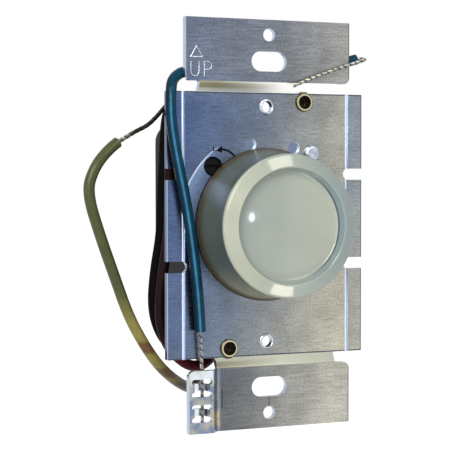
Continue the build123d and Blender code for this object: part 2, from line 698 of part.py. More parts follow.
def triac_rivet():
    """Rivet with a domed head on the plate's front."""
    grip = PLATE_BACK + INSULATOR_T + TRIAC_TAB_T
    tail = grip + RIVET_TAIL_T
    rows = [
        (0, -TRIAC_HEAD_H, 0), (TRIAC_HEAD_R, -TRIAC_HEAD_H, TRIAC_HEAD_H * 0.85),
        (TRIAC_HEAD_R, 0, 0), (TRIAC_RIVET_R, 0, 0), (TRIAC_RIVET_R, grip, 0),
        (RIVET_TAIL_R, grip, 0), (RIVET_TAIL_R, tail, 0), (0, tail, 0),
    ]
    return Pos(TRIAC_RIVET_X, 0, TRIAC_RIVET_Z) * turned(rows)


def choke_place():
    """Stands the choke on the board, its axis upright, by the lower wall and the right post."""
    x = ROOM_HALF_W - POST - CHOKE_R - CHOKE_CLEARANCE
    z = -ROOM_HALF_H + CHOKE_L / 2 + CHOKE_CLEARANCE
    return Pos(x, BOARD_BACK + CHOKE_R, z) * Rot(90, 0, 0)


def choke_section(coat):
    """Half section of the choke's ring, grown by a coat of wire."""
    inner = CHOKE_BORE_R + CHOKE_COAT - coat
    outer = CHOKE_R - CHOKE_COAT + coat
    end = CHOKE_L / 2 - CHOKE_COAT + coat
    return outline([
        (inner, -end, CHOKE_COAT / 2), (outer, -end, CHOKE_COAT / 2),
        (outer, end, CHOKE_COAT / 2), (inner, end, CHOKE_COAT / 2),
    ])


def choke_core():
    """Ring core of the interference choke."""
    return choke_place() * revolve(choke_section(0), Axis.Y)


def choke_winding():
    """Wire wound round most of the core."""
    section = choke_section(CHOKE_COAT) - choke_section(FIXED_FIT)
    return choke_place() * revolve(section, Axis.Y, revolution_arc=360 - CHOKE_GAP_DEG)


def box_capacitor(size, x):
    """Box capacitor on the back of the board, above the potentiometer."""
    width, height, depth = size
    z = POT_R + CAP_CLEARANCE + height / 2
    body = block(width, height, BOARD_BACK, BOARD_BACK + depth, x, z)
    return fillet(body.edges().filter_by(Axis.Y) + body.edges().group_by(Axis.Y)[-1], CAP_EDGE_R)


def axial_part(name):
    """Cylindrical part lying on the board, with a wire at each end bent into it."""
    radius, length, height = AXIAL_ROWS[name]
    z = height - ROOM_HALF_H
    y = BOARD_BACK + AXIAL_LIFT + radius
    along = Plane(origin=(AXIAL_X, y, z), x_dir=(0, 0, 1), z_dir=(1, 0, 0))
    body = along * Cylinder(radius, length)
    body = fillet(body.edges(), radius / 3)
    span = length + 4 * AXIAL_WIRE
    body += along * Cylinder(AXIAL_WIRE / 2, span)
    for side in (1, -1):
        x = AXIAL_X + side * (span - AXIAL_WIRE) / 2
        body += block(AXIAL_WIRE, AXIAL_WIRE, BOARD_BACK, y, x, z)
    return body


def trim_pot_body():
    """Square trimmer on the front of the board, open to the access hole."""
    front = BOARD_FRONT - TRIM_BODY_H
    body = block(TRIM_BODY, TRIM_BODY, front, BOARD_FRONT, TRIM_X, TRIM_Z)
    bore = TRIM_ROTOR_R + RUNNING_FIT
    return body - disc(bore, front, front + TRIM_ROTOR_SEAT + RUNNING_FIT, TRIM_X, TRIM_Z)


def trim_rotor():
    """Screwdriver rotor that reaches into the access hole."""
    back = BOARD_FRONT - TRIM_BODY_H + TRIM_ROTOR_SEAT
    rotor = disc(TRIM_ROTOR_R, TRIM_ROTOR_INSET, back, TRIM_X, TRIM_Z)
    slot_back = TRIM_ROTOR_INSET + TRIM_SLOT_DEPTH
    slot_l = 2 * TRIM_ROTOR_R - TRIM_SLOT_W
    return rotor - block(slot_l, TRIM_SLOT_W, TRIM_ROTOR_INSET, slot_back, TRIM_X, TRIM_Z)


# Leads
def bend_radii(points):
    """Largest even arc at each corner of a route: 0.45 of its shorter run over the half turn's tangent."""
    radii = []
    for a, b, c in zip(points, points[1:], points[2:]):
        first = Vector(b) - Vector(a)
        second = Vector(c) - Vector(b)
        turn = math.radians(first.get_angle(second))
        radii.append(0.45 * min(first.length, second.length) / math.tan(turn / 2))
    return radii


def tube(name, points, diameter):
    """Round wire along straight runs joined by tangent arcs."""
    radii = bend_radii(points)
    path = FilletPolyline(*points, radius=radii)
    section = Plane(origin=path @ 0, z_dir=path % 0) * Circle(diameter / 2)
    wire = sweep(section, path=path)
    share = wire.volume / (path.length * math.pi * diameter**2 / 4)
    print(name, "length", round(path.length, 1), "tightest radius", round(min(radii), 1), "volume share",
          round(share, 4), "radii", [round(r, 1) for r in radii])
    return wire


def ground_conductor():
    """Bare strands of the green lead, laced straight through the staking tab."""
    tail = (STRAND_X, STRAND_Y, -YOKE_H / 2 + STRAND_INSET)
    tab_top = (STRAND_X, STRAND_Y, -EAR_INNER_Z)
    return tube("ground_conductor", [tail, tab_top, GREEN_ROUTE[0]], STRAND_D)


def pieces():
    """Every piece under the name of its node."""
    made = {
        "yoke": yoke(),
        "rear_housing": rear_housing(),
        "rivet_upper": eyelet(1),
        "rivet_lower": eyelet(-1),
        "knob": knob(),
        "control_shaft": control_shaft(),
        "retaining_ring": retaining_ring(),
        "pot_bushing": pot_bushing(),
        "lock_washer": lock_washer(),
        "bushing_nut": bushing_nut(),
        "pot_can": pot_can(),
        "pot_track": pot_track(),
        "pot_terminals": pot_terminals(),
        "pot_rotor": pot_rotor(),
        "pot_wiper": pot_wiper(),
        "switch_divider": switch_divider(),
        "switch_case": switch_case(),
        "switch_contacts": switch_contacts(),
        "switch_rotor": switch_rotor(),
        "switch_bridge": switch_bridge(),
        "circuit_board": circuit_board(),
        "triac": triac(),
        "triac_insulator": triac_insulator(),
        "triac_rivet": triac_rivet(),
        "choke_core": choke_core(),
        "choke_winding": choke_winding(),
        "filter_capacitor": box_capacitor(FILTER_CAP, FILTER_CAP_X),
        "timing_capacitor": box_capacitor(TIMING_CAP, TIMING_CAP_X),
        "trim_pot_body": trim_pot_body(),
        "trim_rotor": trim_rotor(),
        "ground_conductor": ground_conductor(),
    }
    for name in AXIAL_ROWS:
        made[name] = axial_part(name)
    leads = {
        "green_lead": (GREEN_ROUTE, GREEN_END),
        "yellow_lead": (YELLOW_ROUTE, YELLOW_END),
        "black_lead": (BLACK_ROUTE, BLACK_END),
        "red_lead": (RED_ROUTE, RED_END),
    }
    for name, (route, end) in leads.items():
        made[name] = tube(name, route, LEAD_D)
        made[name + "_end"] = tube(name + "_end", end, STRAND_D)
    return made


os.makedirs("parts", exist_ok=True)
for node, solid in pieces().items():
    export_step(solid, f"parts/{node}.step")
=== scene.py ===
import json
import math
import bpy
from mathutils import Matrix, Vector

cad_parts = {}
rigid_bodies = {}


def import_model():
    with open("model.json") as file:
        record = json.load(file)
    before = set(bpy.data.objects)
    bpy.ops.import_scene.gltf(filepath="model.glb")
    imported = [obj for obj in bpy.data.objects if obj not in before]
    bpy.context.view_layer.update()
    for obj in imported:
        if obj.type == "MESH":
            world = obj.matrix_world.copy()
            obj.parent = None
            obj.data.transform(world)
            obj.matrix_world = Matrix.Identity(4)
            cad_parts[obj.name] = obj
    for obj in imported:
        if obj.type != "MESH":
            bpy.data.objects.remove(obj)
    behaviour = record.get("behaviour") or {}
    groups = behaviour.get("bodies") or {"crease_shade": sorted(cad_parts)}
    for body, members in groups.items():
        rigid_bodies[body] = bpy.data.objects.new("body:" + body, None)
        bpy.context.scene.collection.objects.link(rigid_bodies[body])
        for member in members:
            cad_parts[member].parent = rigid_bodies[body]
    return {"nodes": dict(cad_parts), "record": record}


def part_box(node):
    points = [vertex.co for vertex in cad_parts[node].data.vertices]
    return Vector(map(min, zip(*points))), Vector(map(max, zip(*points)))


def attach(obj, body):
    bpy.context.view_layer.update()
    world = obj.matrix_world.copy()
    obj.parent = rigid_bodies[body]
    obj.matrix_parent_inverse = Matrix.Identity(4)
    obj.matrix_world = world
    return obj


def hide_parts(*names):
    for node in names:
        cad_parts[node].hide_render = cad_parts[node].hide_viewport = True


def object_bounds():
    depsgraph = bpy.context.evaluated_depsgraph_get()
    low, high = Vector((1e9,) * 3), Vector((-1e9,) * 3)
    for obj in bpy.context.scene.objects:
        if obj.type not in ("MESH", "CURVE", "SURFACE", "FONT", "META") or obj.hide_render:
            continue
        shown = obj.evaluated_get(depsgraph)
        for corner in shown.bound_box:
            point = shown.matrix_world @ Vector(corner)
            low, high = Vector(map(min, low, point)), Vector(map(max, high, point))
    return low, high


bl_info = {
    "name": "Fan speed control switch",
    "version": (1, 0, 0),
    "blender": (4, 5, 0),
    "location": "3D View > Sidebar > Fan switch",
    "description": "Finishes, leads, marks and stage for a rotary fan speed control",
    "category": "Object",
}

import bpy
from mathutils import Matrix, Vector

MM = 0.001

# Places on the object in millimetres from the knob's axis and the plate's front face
PLATE_HALF = 27.45
EAR_HALF = 23.0
EAR_FRONT = -1.5
SCORE_X = 23.0
BEND_Z, BEND_HALF = 35.1, 1.3
COVER_HOLE_Z = 30.165
RIVET_X, RIVET_Z = 10.6, 31.5
HOUSING_FOOT_Z = -26.5

# Part of its range that a noise texture mostly fills
NOISE_SPAN = {"From Min": 0.3, "From Max": 0.7}

# The camera's turn, rise and roll in degrees, its distance and aim in millimetres, and its picture
CAMERA_TURN, CAMERA_RISE, CAMERA_ROLL = -22.8, 2.0, -0.06
CAMERA_AWAY = 364.3
CAMERA_AIM = (-11.655, 0.0, 0.018)
PICTURE_PIXELS, FOCAL_PIXELS, SENSOR_MM = 450, 1433, 36

# The floor looks white to the camera by this much glow and keeps the object's shadow in the rest
FLOOR_GLOW, FLOOR_GLOW_SHARE = 1.36, 0.7

for leftover in list(bpy.data.objects):
    bpy.data.objects.remove(leftover)
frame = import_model()
NODES = frame["nodes"]
CAD_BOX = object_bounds()


def srgb(code):
    """Linear RGBA of an sRGB hex colour."""
    parts = [int(code[i:i + 2], 16) / 255 for i in (0, 2, 4)]
    linear = [c / 12.92 if c <= 0.04045 else ((c + 0.055) / 1.055) ** 2.4 for c in parts]
    return (*linear, 1.0)


def per_mm(size):
    """Pattern scale whose features are about this many millimetres across."""
    return 1 / (size * MM)


# Lead routes in millimetres, from the end at the device to the stripped end
GREEN_ROUTE = [
    (-19.2, -1.9, -26.6), (-19.67, -2.24, -20.0), (-20.85, -2.1, -8.5), (-22.75, -1.9, 5.0),
    (-25.5, -1.9, 17.5), (-27.05, -1.9, 27.0), (-26.9, -1.7, 33.8), (-25.6, 0.5, 37.0),
    (-21.3, 2.4, 39.3), (-12.0, 2.2, 37.6), (-1.0, 2.0, 37.2), (10.0, 2.0, 38.6),
    (19.7, 1.92, 41.4), (26.6, 1.5, 43.2),
]
GREEN_END = [
    (26.6, 1.5, 43.2), (27.75, 1.43, 43.5), (28.2, -0.9, 43.2), (26.8, -2.5, 42.7),
    (23.4, -3.1, 41.7), (18.5, -3.2, 40.1), (12.0, -3.1, 37.9), (5.7, -2.9, 35.3),
]
YELLOW_ROUTE = [
    (-8.5, 21.0, -23.9), (-8.8, 21.0, -31.5), (-10.4, 20.2, -38.6), (-14.4, 16.0, -44.0),
    (-20.4, 10.9, -41.2), (-27.0, 6.4, -36.3), (-32.2, 3.4, -30.2), (-37.2, 1.4, -22.2),
    (-41.0, 0.3, -12.6), (-45.0, -0.6, -2.4), (-48.6, -1.1, 8.6), (-46.6, -0.6, 14.4),
    (-42.6, 0.5, 19.0), (-39.9, 1.2, 20.8),
]
YELLOW_END = [(-39.9, 1.2, 20.8), (-35.35, 2.38, 23.4), (-30.3, 2.7, 25.6), (-26.3, 3.2, 30.4)]
BLACK_ROUTE = [
    (-13.0, 12.6, -23.9), (-13.2, 12.5, -29.3), (-16.4, 11.6, -33.0), (-21.2, 10.6, -32.6),
    (-25.4, 10.2, -28.6), (-27.7, 10.1, -21.5), (-27.0, 10.0, -12.0), (-25.2, 10.0, -2.5),
    (-24.95, 10.0, 7.0), (-24.4, 10.0, 17.5), (-23.8, 10.6, 25.2), (-21.5, 14.5, 29.6),
    (-16.8, 21.5, 30.6), (-12.2, 28.8, 29.6), (-9.2, 33.0, 23.4), (-8.0, 33.2, 15.6),
]
BLACK_END = [(-8.0, 33.2, 15.6), (-7.1, 33.35, 9.75), (-7.4, 32.8, 4.0), (-8.4, 32.0, -1.6)]
RED_ROUTE = [
    (-8.5, 13.0, -23.9), (-8.6, 12.6, -31.3), (-11.6, 10.6, -36.0), (-17.2, 8.2, -37.2),
    (-22.2, 7.2, -34.0), (-25.5, 7.0, -29.6), (-27.0, 7.0, -22.8), (-26.2, 7.0, -13.2),
    (-24.3, 7.0, -2.5), (-24.1, 7.0, 8.0), (-23.9, 7.0, 18.0), (-23.2, 7.2, 25.8),
    (-18.3, 8.6, 29.6), (-10.5, 12.5, 29.2), (-3.0, 18.5, 29.2), (1.8, 26.3, 30.6),
    (4.2, 32.4, 26.2), (5.2, 32.9, 18.6),
]
RED_END = [(5.2, 32.9, 18.6), (5.99, 33.3, 12.6), (5.6, 32.8, 6.8), (4.6, 32.0, 1.2)]
GROUND_ROUTE = [(-18.5, -1.4, -51.3), (-18.5, -1.4, -36.4), (-19.2, -1.9, -26.6)]

# Each lead: route, stripped end, where it leaves the object, length of its insulation in metres, and the
# width of its bare bundle as a share of the common one
LEADS = {
    "green": (GREEN_ROUTE, GREEN_END, (-18.5, -1.4, -36.4), 0.1184, 1.0),
    "yellow": (YELLOW_ROUTE, YELLOW_END, (-8.6, 21.0, HOUSING_FOOT_Z), 0.1060, 1.25),
    "black": (BLACK_ROUTE, BLACK_END, (-13.1, 12.55, HOUSING_FOOT_Z), 0.1131, 1.0),
    "red": (RED_ROUTE, RED_END, (-8.53, 12.86, HOUSING_FOOT_Z), 0.1346, 1.0),
}


class SheetFinish(bpy.types.PropertyGroup):
    """Colours, painted light and brush marks of the yoke's sheet"""

    # Painted light: cool, middle and warm make a drift that stands in for the tint of the light on the sheet
    cool: bpy.props.FloatVectorProperty(
        name="Cool side", description="Sheet colour towards the upper left", subtype="COLOR", size=4,
        default=srgb("50648C"))
    middle: bpy.props.FloatVectorProperty(
        name="Middle", description="Sheet colour in the middle", subtype="COLOR", size=4,
        default=srgb("6E7888"))
    warm: bpy.props.FloatVectorProperty(
        name="Warm side", description="Sheet colour towards the lower right", subtype="COLOR", size=4,
        default=srgb("BCB8A4"))
    # Painted highlights: the sheared edge and score groove colours are bright as light the metal mirrors
    edge: bpy.props.FloatVectorProperty(
        name="Sheared edge", description="Colour of the cut edges", subtype="COLOR", size=4,
        default=srgb("B4BFD2"))
    groove: bpy.props.FloatVectorProperty(
        name="Score groove", description="Bright metal in the score lines", subtype="COLOR", size=4,
        default=srgb("EEF3FA"))
    brush: bpy.props.FloatProperty(
        name="Brush mark", description="Width of one brush mark", subtype="DISTANCE", unit="LENGTH",
        default=0.22 * MM)


class KnobFinish(bpy.types.PropertyGroup):
    """Colours of the knob by place, with painted light and shade"""

    # Painted light and shade: face, rim and recess wall are lighter on the left, cooler and darker on the
    # right
    face: bpy.props.FloatVectorProperty(
        name="Face", description="Colour of the recessed face's right side", subtype="COLOR", size=4,
        default=srgb("A7ACA0"))
    face_left: bpy.props.FloatVectorProperty(
        name="Left face", description="Colour of the recessed face's left side", subtype="COLOR", size=4,
        default=srgb("919C9A"))
    rim: bpy.props.FloatVectorProperty(
        name="Rim", description="Colour of the bevelled rim", subtype="COLOR", size=4,
        default=srgb("ADB2A3"))
    shade: bpy.props.FloatVectorProperty(
        name="Shaded rim", description="Colour of the rim's and recess's right side", subtype="COLOR", size=4,
        default=srgb("8C9A9C"))
    wall: bpy.props.FloatVectorProperty(
        name="Recess wall", description="Colour of the recess's right wall", subtype="COLOR", size=4,
        default=srgb("7C8E94"))
    # Skirt: dark partly as its inside shows through, partly as painted shade; the lit tan below is painted
    # light
    skirt: bpy.props.FloatVectorProperty(
        name="Skirt", description="Colour of the thin skirt, where the dark inside shows through",
        subtype="COLOR", size=4, default=srgb("525A56"))
    glow: bpy.props.FloatVectorProperty(
        name="Lit skirt", description="Tan of the skirt's lower side, where light comes through",
        subtype="COLOR", size=4, default=srgb("8E8E76"))
    # Painted shade: the foot is dark amber by the plate, tinted as light through the plastic would be
    foot: bpy.props.FloatVectorProperty(
        name="Foot", description="Amber colour of the thick edge by the plate", subtype="COLOR", size=4,
        default=srgb("463C28"))


class LeadFinish(bpy.types.PropertyGroup):
    """Sizes and colours of the leads"""

    diameter: bpy.props.FloatProperty(
        name="Insulation", description="Outer diameter of a lead", subtype="DISTANCE", unit="LENGTH",
        default=2.8 * MM)
    bundle: bpy.props.FloatProperty(
        name="Bare bundle", description="Diameter of the twisted strands", subtype="DISTANCE",
        unit="LENGTH", default=0.88 * MM)
    lay: bpy.props.FloatProperty(
        name="Lay", description="Length in which a strand turns once round", subtype="DISTANCE",
        unit="LENGTH", default=9.0 * MM)
    green: bpy.props.FloatVectorProperty(
        name="Green", description="Ground lead", subtype="COLOR", size=4, default=srgb("043A50"))
    yellow: bpy.props.FloatVectorProperty(
        name="Yellow", description="Olive-yellow lead", subtype="COLOR", size=4, default=srgb("424A25"))
    black: bpy.props.FloatVectorProperty(
        name="Black", description="Black lead", subtype="COLOR", size=4, default=srgb("050404"))
    # Painted shade: the red is nearly black, as the lead looks where the plate shades it
    red: bpy.props.FloatVectorProperty(
        name="Red", description="Dark red lead", subtype="COLOR", size=4, default=srgb("170607"))


class MarkSizes(bpy.types.PropertyGroup):
    """Sizes of the embossed and printed marks"""

    bead: bpy.props.FloatProperty(
        name="Bead", description="Thickness of the embossed line", subtype="DISTANCE", unit="LENGTH",
        default=0.3 * MM)
    ink: bpy.props.FloatProperty(
        name="Ink", description="Thickness of the printed mark", subtype="DISTANCE", unit="LENGTH",
        default=0.03 * MM)


class StageSettings(bpy.types.PropertyGroup):
    """Floor and light"""

    floor: bpy.props.FloatVectorProperty(
        name="Floor", description="Colour of the floor", subtype="COLOR", size=4, default=srgb("F4F4F4"))
    key: bpy.props.FloatProperty(
        name="Key", description="Power of the main soft light", subtype="POWER", unit="POWER", default=7.6)
    ambient: bpy.props.FloatProperty(
        name="Ambient", description="Strength of the light from all round", default=0.27)


def span(low, high):
    """Range of a place in millimetres, for a node that maps it to a share."""
    return {"From Min": low * MM, "From Max": high * MM}


def add(tree, kind, inputs=None, output=None, **settings):
    """Add a shader node, set its properties and inputs, and return the output named or in use."""
    node = tree.nodes.new(f"ShaderNode{kind}")
    for name, value in settings.items():
        setattr(node, name, value)
    for key, value in (inputs or {}).items():
        if isinstance(value, bpy.types.NodeSocket):
            tree.links.new(value, node.inputs[key])
        else:
            node.inputs[key].default_value = value
    if output:
        return node.outputs[output]
    return next(socket for socket in node.outputs if socket.enabled)


def start_material(name, **values):
    """New material with plain numbers set on its shader; returns it, its tree, shader and coordinates."""
    material = bpy.data.materials.new(name)
    material.use_nodes = True
    tree = material.node_tree
    shader = tree.nodes["Principled BSDF"]
    for socket, value in values.items():
        shader.inputs[socket.replace("_", " ")].default_value = value
    return material, tree, shader, add(tree, "TexCoord", output="Object")


def wire(shader, **sockets):
    """Link outputs to the shader's inputs of these names."""
    for name, socket in sockets.items():
        shader.id_data.links.new(socket, shader.inputs[name.replace("_", " ")])


def sheet_tone(tree, axis, height, finish):
    """Painted light on the sheet: a cool upper left and warm lower right; greyer on the ears."""
    drift = add(tree, "Math", {0: axis["Z"], 1: -0.2, 2: axis["X"]}, operation="MULTIPLY_ADD")
    low = add(tree, "MapRange", {"Value": drift, **span(-28, -6)})
    high = add(tree, "MapRange", {"Value": drift, **span(-6, 30)})
    tone = add(tree, "Mix", {0: low, 6: finish.cool, 7: finish.middle}, data_type="RGBA")
    tone = add(tree, "Mix", {0: high, 6: tone, 7: finish.warm}, data_type="RGBA")
    grey = add(tree, "MapRange", {"Value": height, **span(30, 40), "To Min": 1.0, "To Max": 0.55})
    tone = add(tree, "HueSaturation", {"Saturation": grey, "Color": tone})
    # Painted light: right fins bluer above, greyer below; painted shade darkens the lower ear to the left
    rise = add(tree, "MapRange", {"Value": axis["Z"], **span(-20, 20)})
    fin_tone = add(tree, "Mix", {0: rise, 6: srgb("A3A49B"), 7: srgb("89919B")}, data_type="RGBA")
    fin = add(tree, "MapRange", {"Value": axis["X"], **span(23.2, 23.4)})
    tone = add(tree, "Mix", {0: fin, 6: tone, 7: fin_tone}, data_type="RGBA")
    ear = add(tree, "MapRange", {"Value": axis["Z"], **span(-35, -37)})
    ear_painted_shade = add(tree, "MapRange", {"Value": axis["X"], **span(-12, 14), "To Min": 0.6, "To Max": 0.95})
    return add(tree, "Mix", {0: ear, 6: tone, 7: ear_painted_shade}, data_type="RGBA", blend_type="MULTIPLY")


def sheet_bends(tree, axis, height, bend, tone):
    """Painted reflections on the bends to the ears: bright by the plate, olive beyond, white at the right."""
    fold = add(tree, "MapRange", {"Value": height, **span(34.3, BEND_Z)}, interpolation_type="SMOOTHSTEP")
    across = add(tree, "MapRange", {"Value": axis["X"], **span(-14, 4)})
    bend_reflections = []
    # Painted reflection on the lower bend, then the upper: colour by the plate, beyond, and at the right
    for near, far, right in (("8C908C", "66655A", "94978F"), ("E8E8E0", "A39F84", "F8F8F4")):
        bend_reflection = add(tree, "Mix", {0: fold, 6: srgb(near), 7: srgb(far)}, data_type="RGBA")
        bend_reflections.append(add(tree, "Mix", {0: across, 6: bend_reflection, 7: srgb(right)}, data_type="RGBA"))
    upper = add(tree, "Math", {0: axis["Z"], 1: 0.0}, operation="GREATER_THAN")
    bend_reflection = add(tree, "Mix", {0: upper, 6: bend_reflections[0], 7: bend_reflections[1]}, data_type="RGBA")
    tone = add(tree, "Mix", {0: bend, 6: tone, 7: bend_reflection}, data_type="RGBA")
    # Painted shade in the pressed line where the plate starts to bend
    crease_shade = add(tree, "Math", {0: height, 1: 33.6 * MM, 2: 0.14 * MM}, operation="COMPARE")
    return add(tree, "Mix", {0: crease_shade, 6: tone, 7: srgb("4A505C")}, data_type="RGBA")


def sheet_edges(tree, axis, side, height, tone, finish):
    """Painted light on score grooves and cut edges: bright on the left, dark on the right as they roll under.
    """
    half = add(tree, "MapRange", {
        "Value": height, **span(BEND_Z - 0.2, BEND_Z), "To Min": PLATE_HALF * MM, "To Max": EAR_HALF * MM})
    margin = add(tree, "Math", {0: half, 1: side}, operation="SUBTRACT")
    margin = add(tree, "MapRange", {"Value": margin, **span(0.35, 0.15)})
    # Painted highlight along the left cut edges and painted shade along the right ones
    right = add(tree, "Math", {0: axis["X"], 1: 0.0}, operation="GREATER_THAN")
    line = add(tree, "Mix", {0: right, 6: srgb("AEBAD0"), 7: srgb("5C626A")}, data_type="RGBA")
    tone = add(tree, "Mix", {0: margin, 6: tone, 7: line}, data_type="RGBA")
    plate = add(tree, "Math", {0: height, 1: 33.9 * MM}, operation="LESS_THAN")
    # Each groove gets a painted highlight: blue, with a bright bottom
    for wide, colour in ((0.44, srgb("B0C0E2")), (0.2, finish.groove)):
        groove = add(tree, "Math", {0: side, 1: SCORE_X * MM, 2: wide * MM}, operation="COMPARE")
        groove = add(tree, "Math", {0: groove, 1: plate}, operation="MULTIPLY")
        tone = add(tree, "Mix", {0: groove, 6: tone, 7: colour}, data_type="RGBA")
    # Hole walls and outer edges face across the sheet and get a bright painted highlight
    facing = add(tree, "NewGeometry", output="Normal")
    facing = add(tree, "SeparateXYZ", {0: facing}, "Y")
    facing = add(tree, "Math", {0: facing}, operation="ABSOLUTE")
    facing = add(tree, "MapRange", {"Value": facing, "From Min": 0.1, "From Max": 0.35})
    # Painted shade: the plate's left edge is dark beside the leads
    dark = add(tree, "Math", {0: axis["X"], 1: (0.25 - PLATE_HALF) * MM}, operation="LESS_THAN")
    edge = add(tree, "Mix", {0: dark, 6: finish.edge, 7: srgb("5A6884")}, data_type="RGBA")
    return add(tree, "Mix", {0: facing, 6: edge, 7: tone}, data_type="RGBA")


def sheet_marks(tree, place, axis, tone):
    """Dimples, a scribed line, painted shade in a crease by the tab and the knob's painted reflection."""
    for x, z in ((-4.6, 20.4), (7.7, 19.6)):
        reach = add(tree, "VectorMath", {0: place, 1: (x * MM, 0.0, z * MM)}, operation="DISTANCE")
        floor = add(tree, "Math", {0: reach, 1: 1.6 * MM}, operation="LESS_THAN")
        tone = add(tree, "Mix", {0: floor, 6: tone, 7: srgb("7484A0")}, data_type="RGBA")
        # Painted highlight on the right of each dimple's rim
        rim = add(tree, "Math", {0: reach, 1: 1.5 * MM, 2: 0.16 * MM}, operation="COMPARE")
        lit = add(tree, "MapRange", {"Value": axis["X"], **span(x + 0.2, x + 1.2)})
        rim = add(tree, "Math", {0: rim, 1: lit}, operation="MULTIPLY")
        tone = add(tree, "Mix", {0: rim, 6: tone, 7: srgb("E4ECF6")}, data_type="RGBA")
    # A scribed line, and painted shade in the crease by the tab
    # Fine dark lines: x, middle height, half length and half width in millimetres
    for x, z, length, width in ((0.0, -45.5, 1.3, 0.1), (-13.16, -44.0, 2.5, 0.14)):
        row = add(tree, "Math", {0: axis["X"], 1: x * MM, 2: width * MM}, operation="COMPARE")
        run = add(tree, "Math", {0: axis["Z"], 1: z * MM, 2: length * MM}, operation="COMPARE")
        line = add(tree, "Math", {0: row, 1: run}, operation="MULTIPLY")
        tone = add(tree, "Mix", {0: line, 6: tone, 7: srgb("3A3E44")}, data_type="RGBA")
    # Painted reflection of the knob: a bright crescent on the plate at its upper left
    flat = add(tree, "VectorMath", {0: place, 1: (1.0, 0.0, 1.0)}, operation="MULTIPLY")
    reach = add(tree, "VectorMath", {0: flat}, operation="LENGTH")
    across = add(tree, "MapRange", {"Value": axis["X"], **span(-13, -18)})
    upward = add(tree, "MapRange", {"Value": axis["Z"], **span(-3, 6)})
    corner = add(tree, "Math", {0: across, 1: upward}, operation="MULTIPLY")
    for middle, half, colour in ((22.0, 2.1, "7F95BE"), (23.95, 0.2, "D2DCEC")):
        knob_reflection = add(tree, "Math", {0: reach, 1: middle * MM, 2: half * MM}, operation="COMPARE")
        knob_reflection = add(tree, "Math", {0: knob_reflection, 1: corner}, operation="MULTIPLY")
        tone = add(tree, "Mix", {0: knob_reflection, 6: tone, 7: srgb(colour)}, data_type="RGBA")
    return tone


def staking_tab_tone(tree, place, axis, tone):
    """Staking tab: silver flat and straps with painted light, a slope to the ear with tan patches 3 mm
    across.
    """
    left = add(tree, "MapRange", {"Value": axis["X"], **span(-13.4, -14.2)})
    tab = add(tree, "Math", {0: axis["Z"], 1: -36.3 * MM}, operation="LESS_THAN")
    tab = add(tree, "Math", {0: tab, 1: left}, operation="MULTIPLY")
    patch = add(tree, "TexNoise", {"Vector": place, "Scale": per_mm(3), "Detail": 4.0})
    patch = add(tree, "MapRange", {"Value": patch, "From Min": 0.42, "From Max": 0.6})
    slope = add(tree, "Mix", {0: patch, 6: srgb("84909E"), 7: srgb("C4BA96")}, data_type="RGBA")
    strap = add(tree, "MapRange", {"Value": axis["Y"], **span(-3.3, -2.0)})
    # Painted light: the tab's flat is dark blue below and bright at the top
    head = add(tree, "MapRange", {"Value": axis["Z"], **span(-40.6, -38.6)})
    blue = add(tree, "Mix", {0: head, 6: srgb("7686A2"), 7: srgb("DCE6F2")}, data_type="RGBA")
    tan_share = add(tree, "Math", {0: patch, 1: 0.6}, operation="MULTIPLY")
    blue = add(tree, "Mix", {0: tan_share, 6: blue, 7: srgb("C4BC9C")}, data_type="RGBA")
    # Painted highlight: the straps are bright
    metal = add(tree, "Mix", {0: strap, 6: blue, 7: srgb("DDE4F0")}, data_type="RGBA")
    flat = add(tree, "MapRange", {"Value": axis["X"], **span(-15.6, -16.8)})
    metal = add(tree, "Mix", {0: flat, 6: slope, 7: metal}, data_type="RGBA")
    return add(tree, "Mix", {0: tab, 6: tone, 7: metal}, data_type="RGBA")


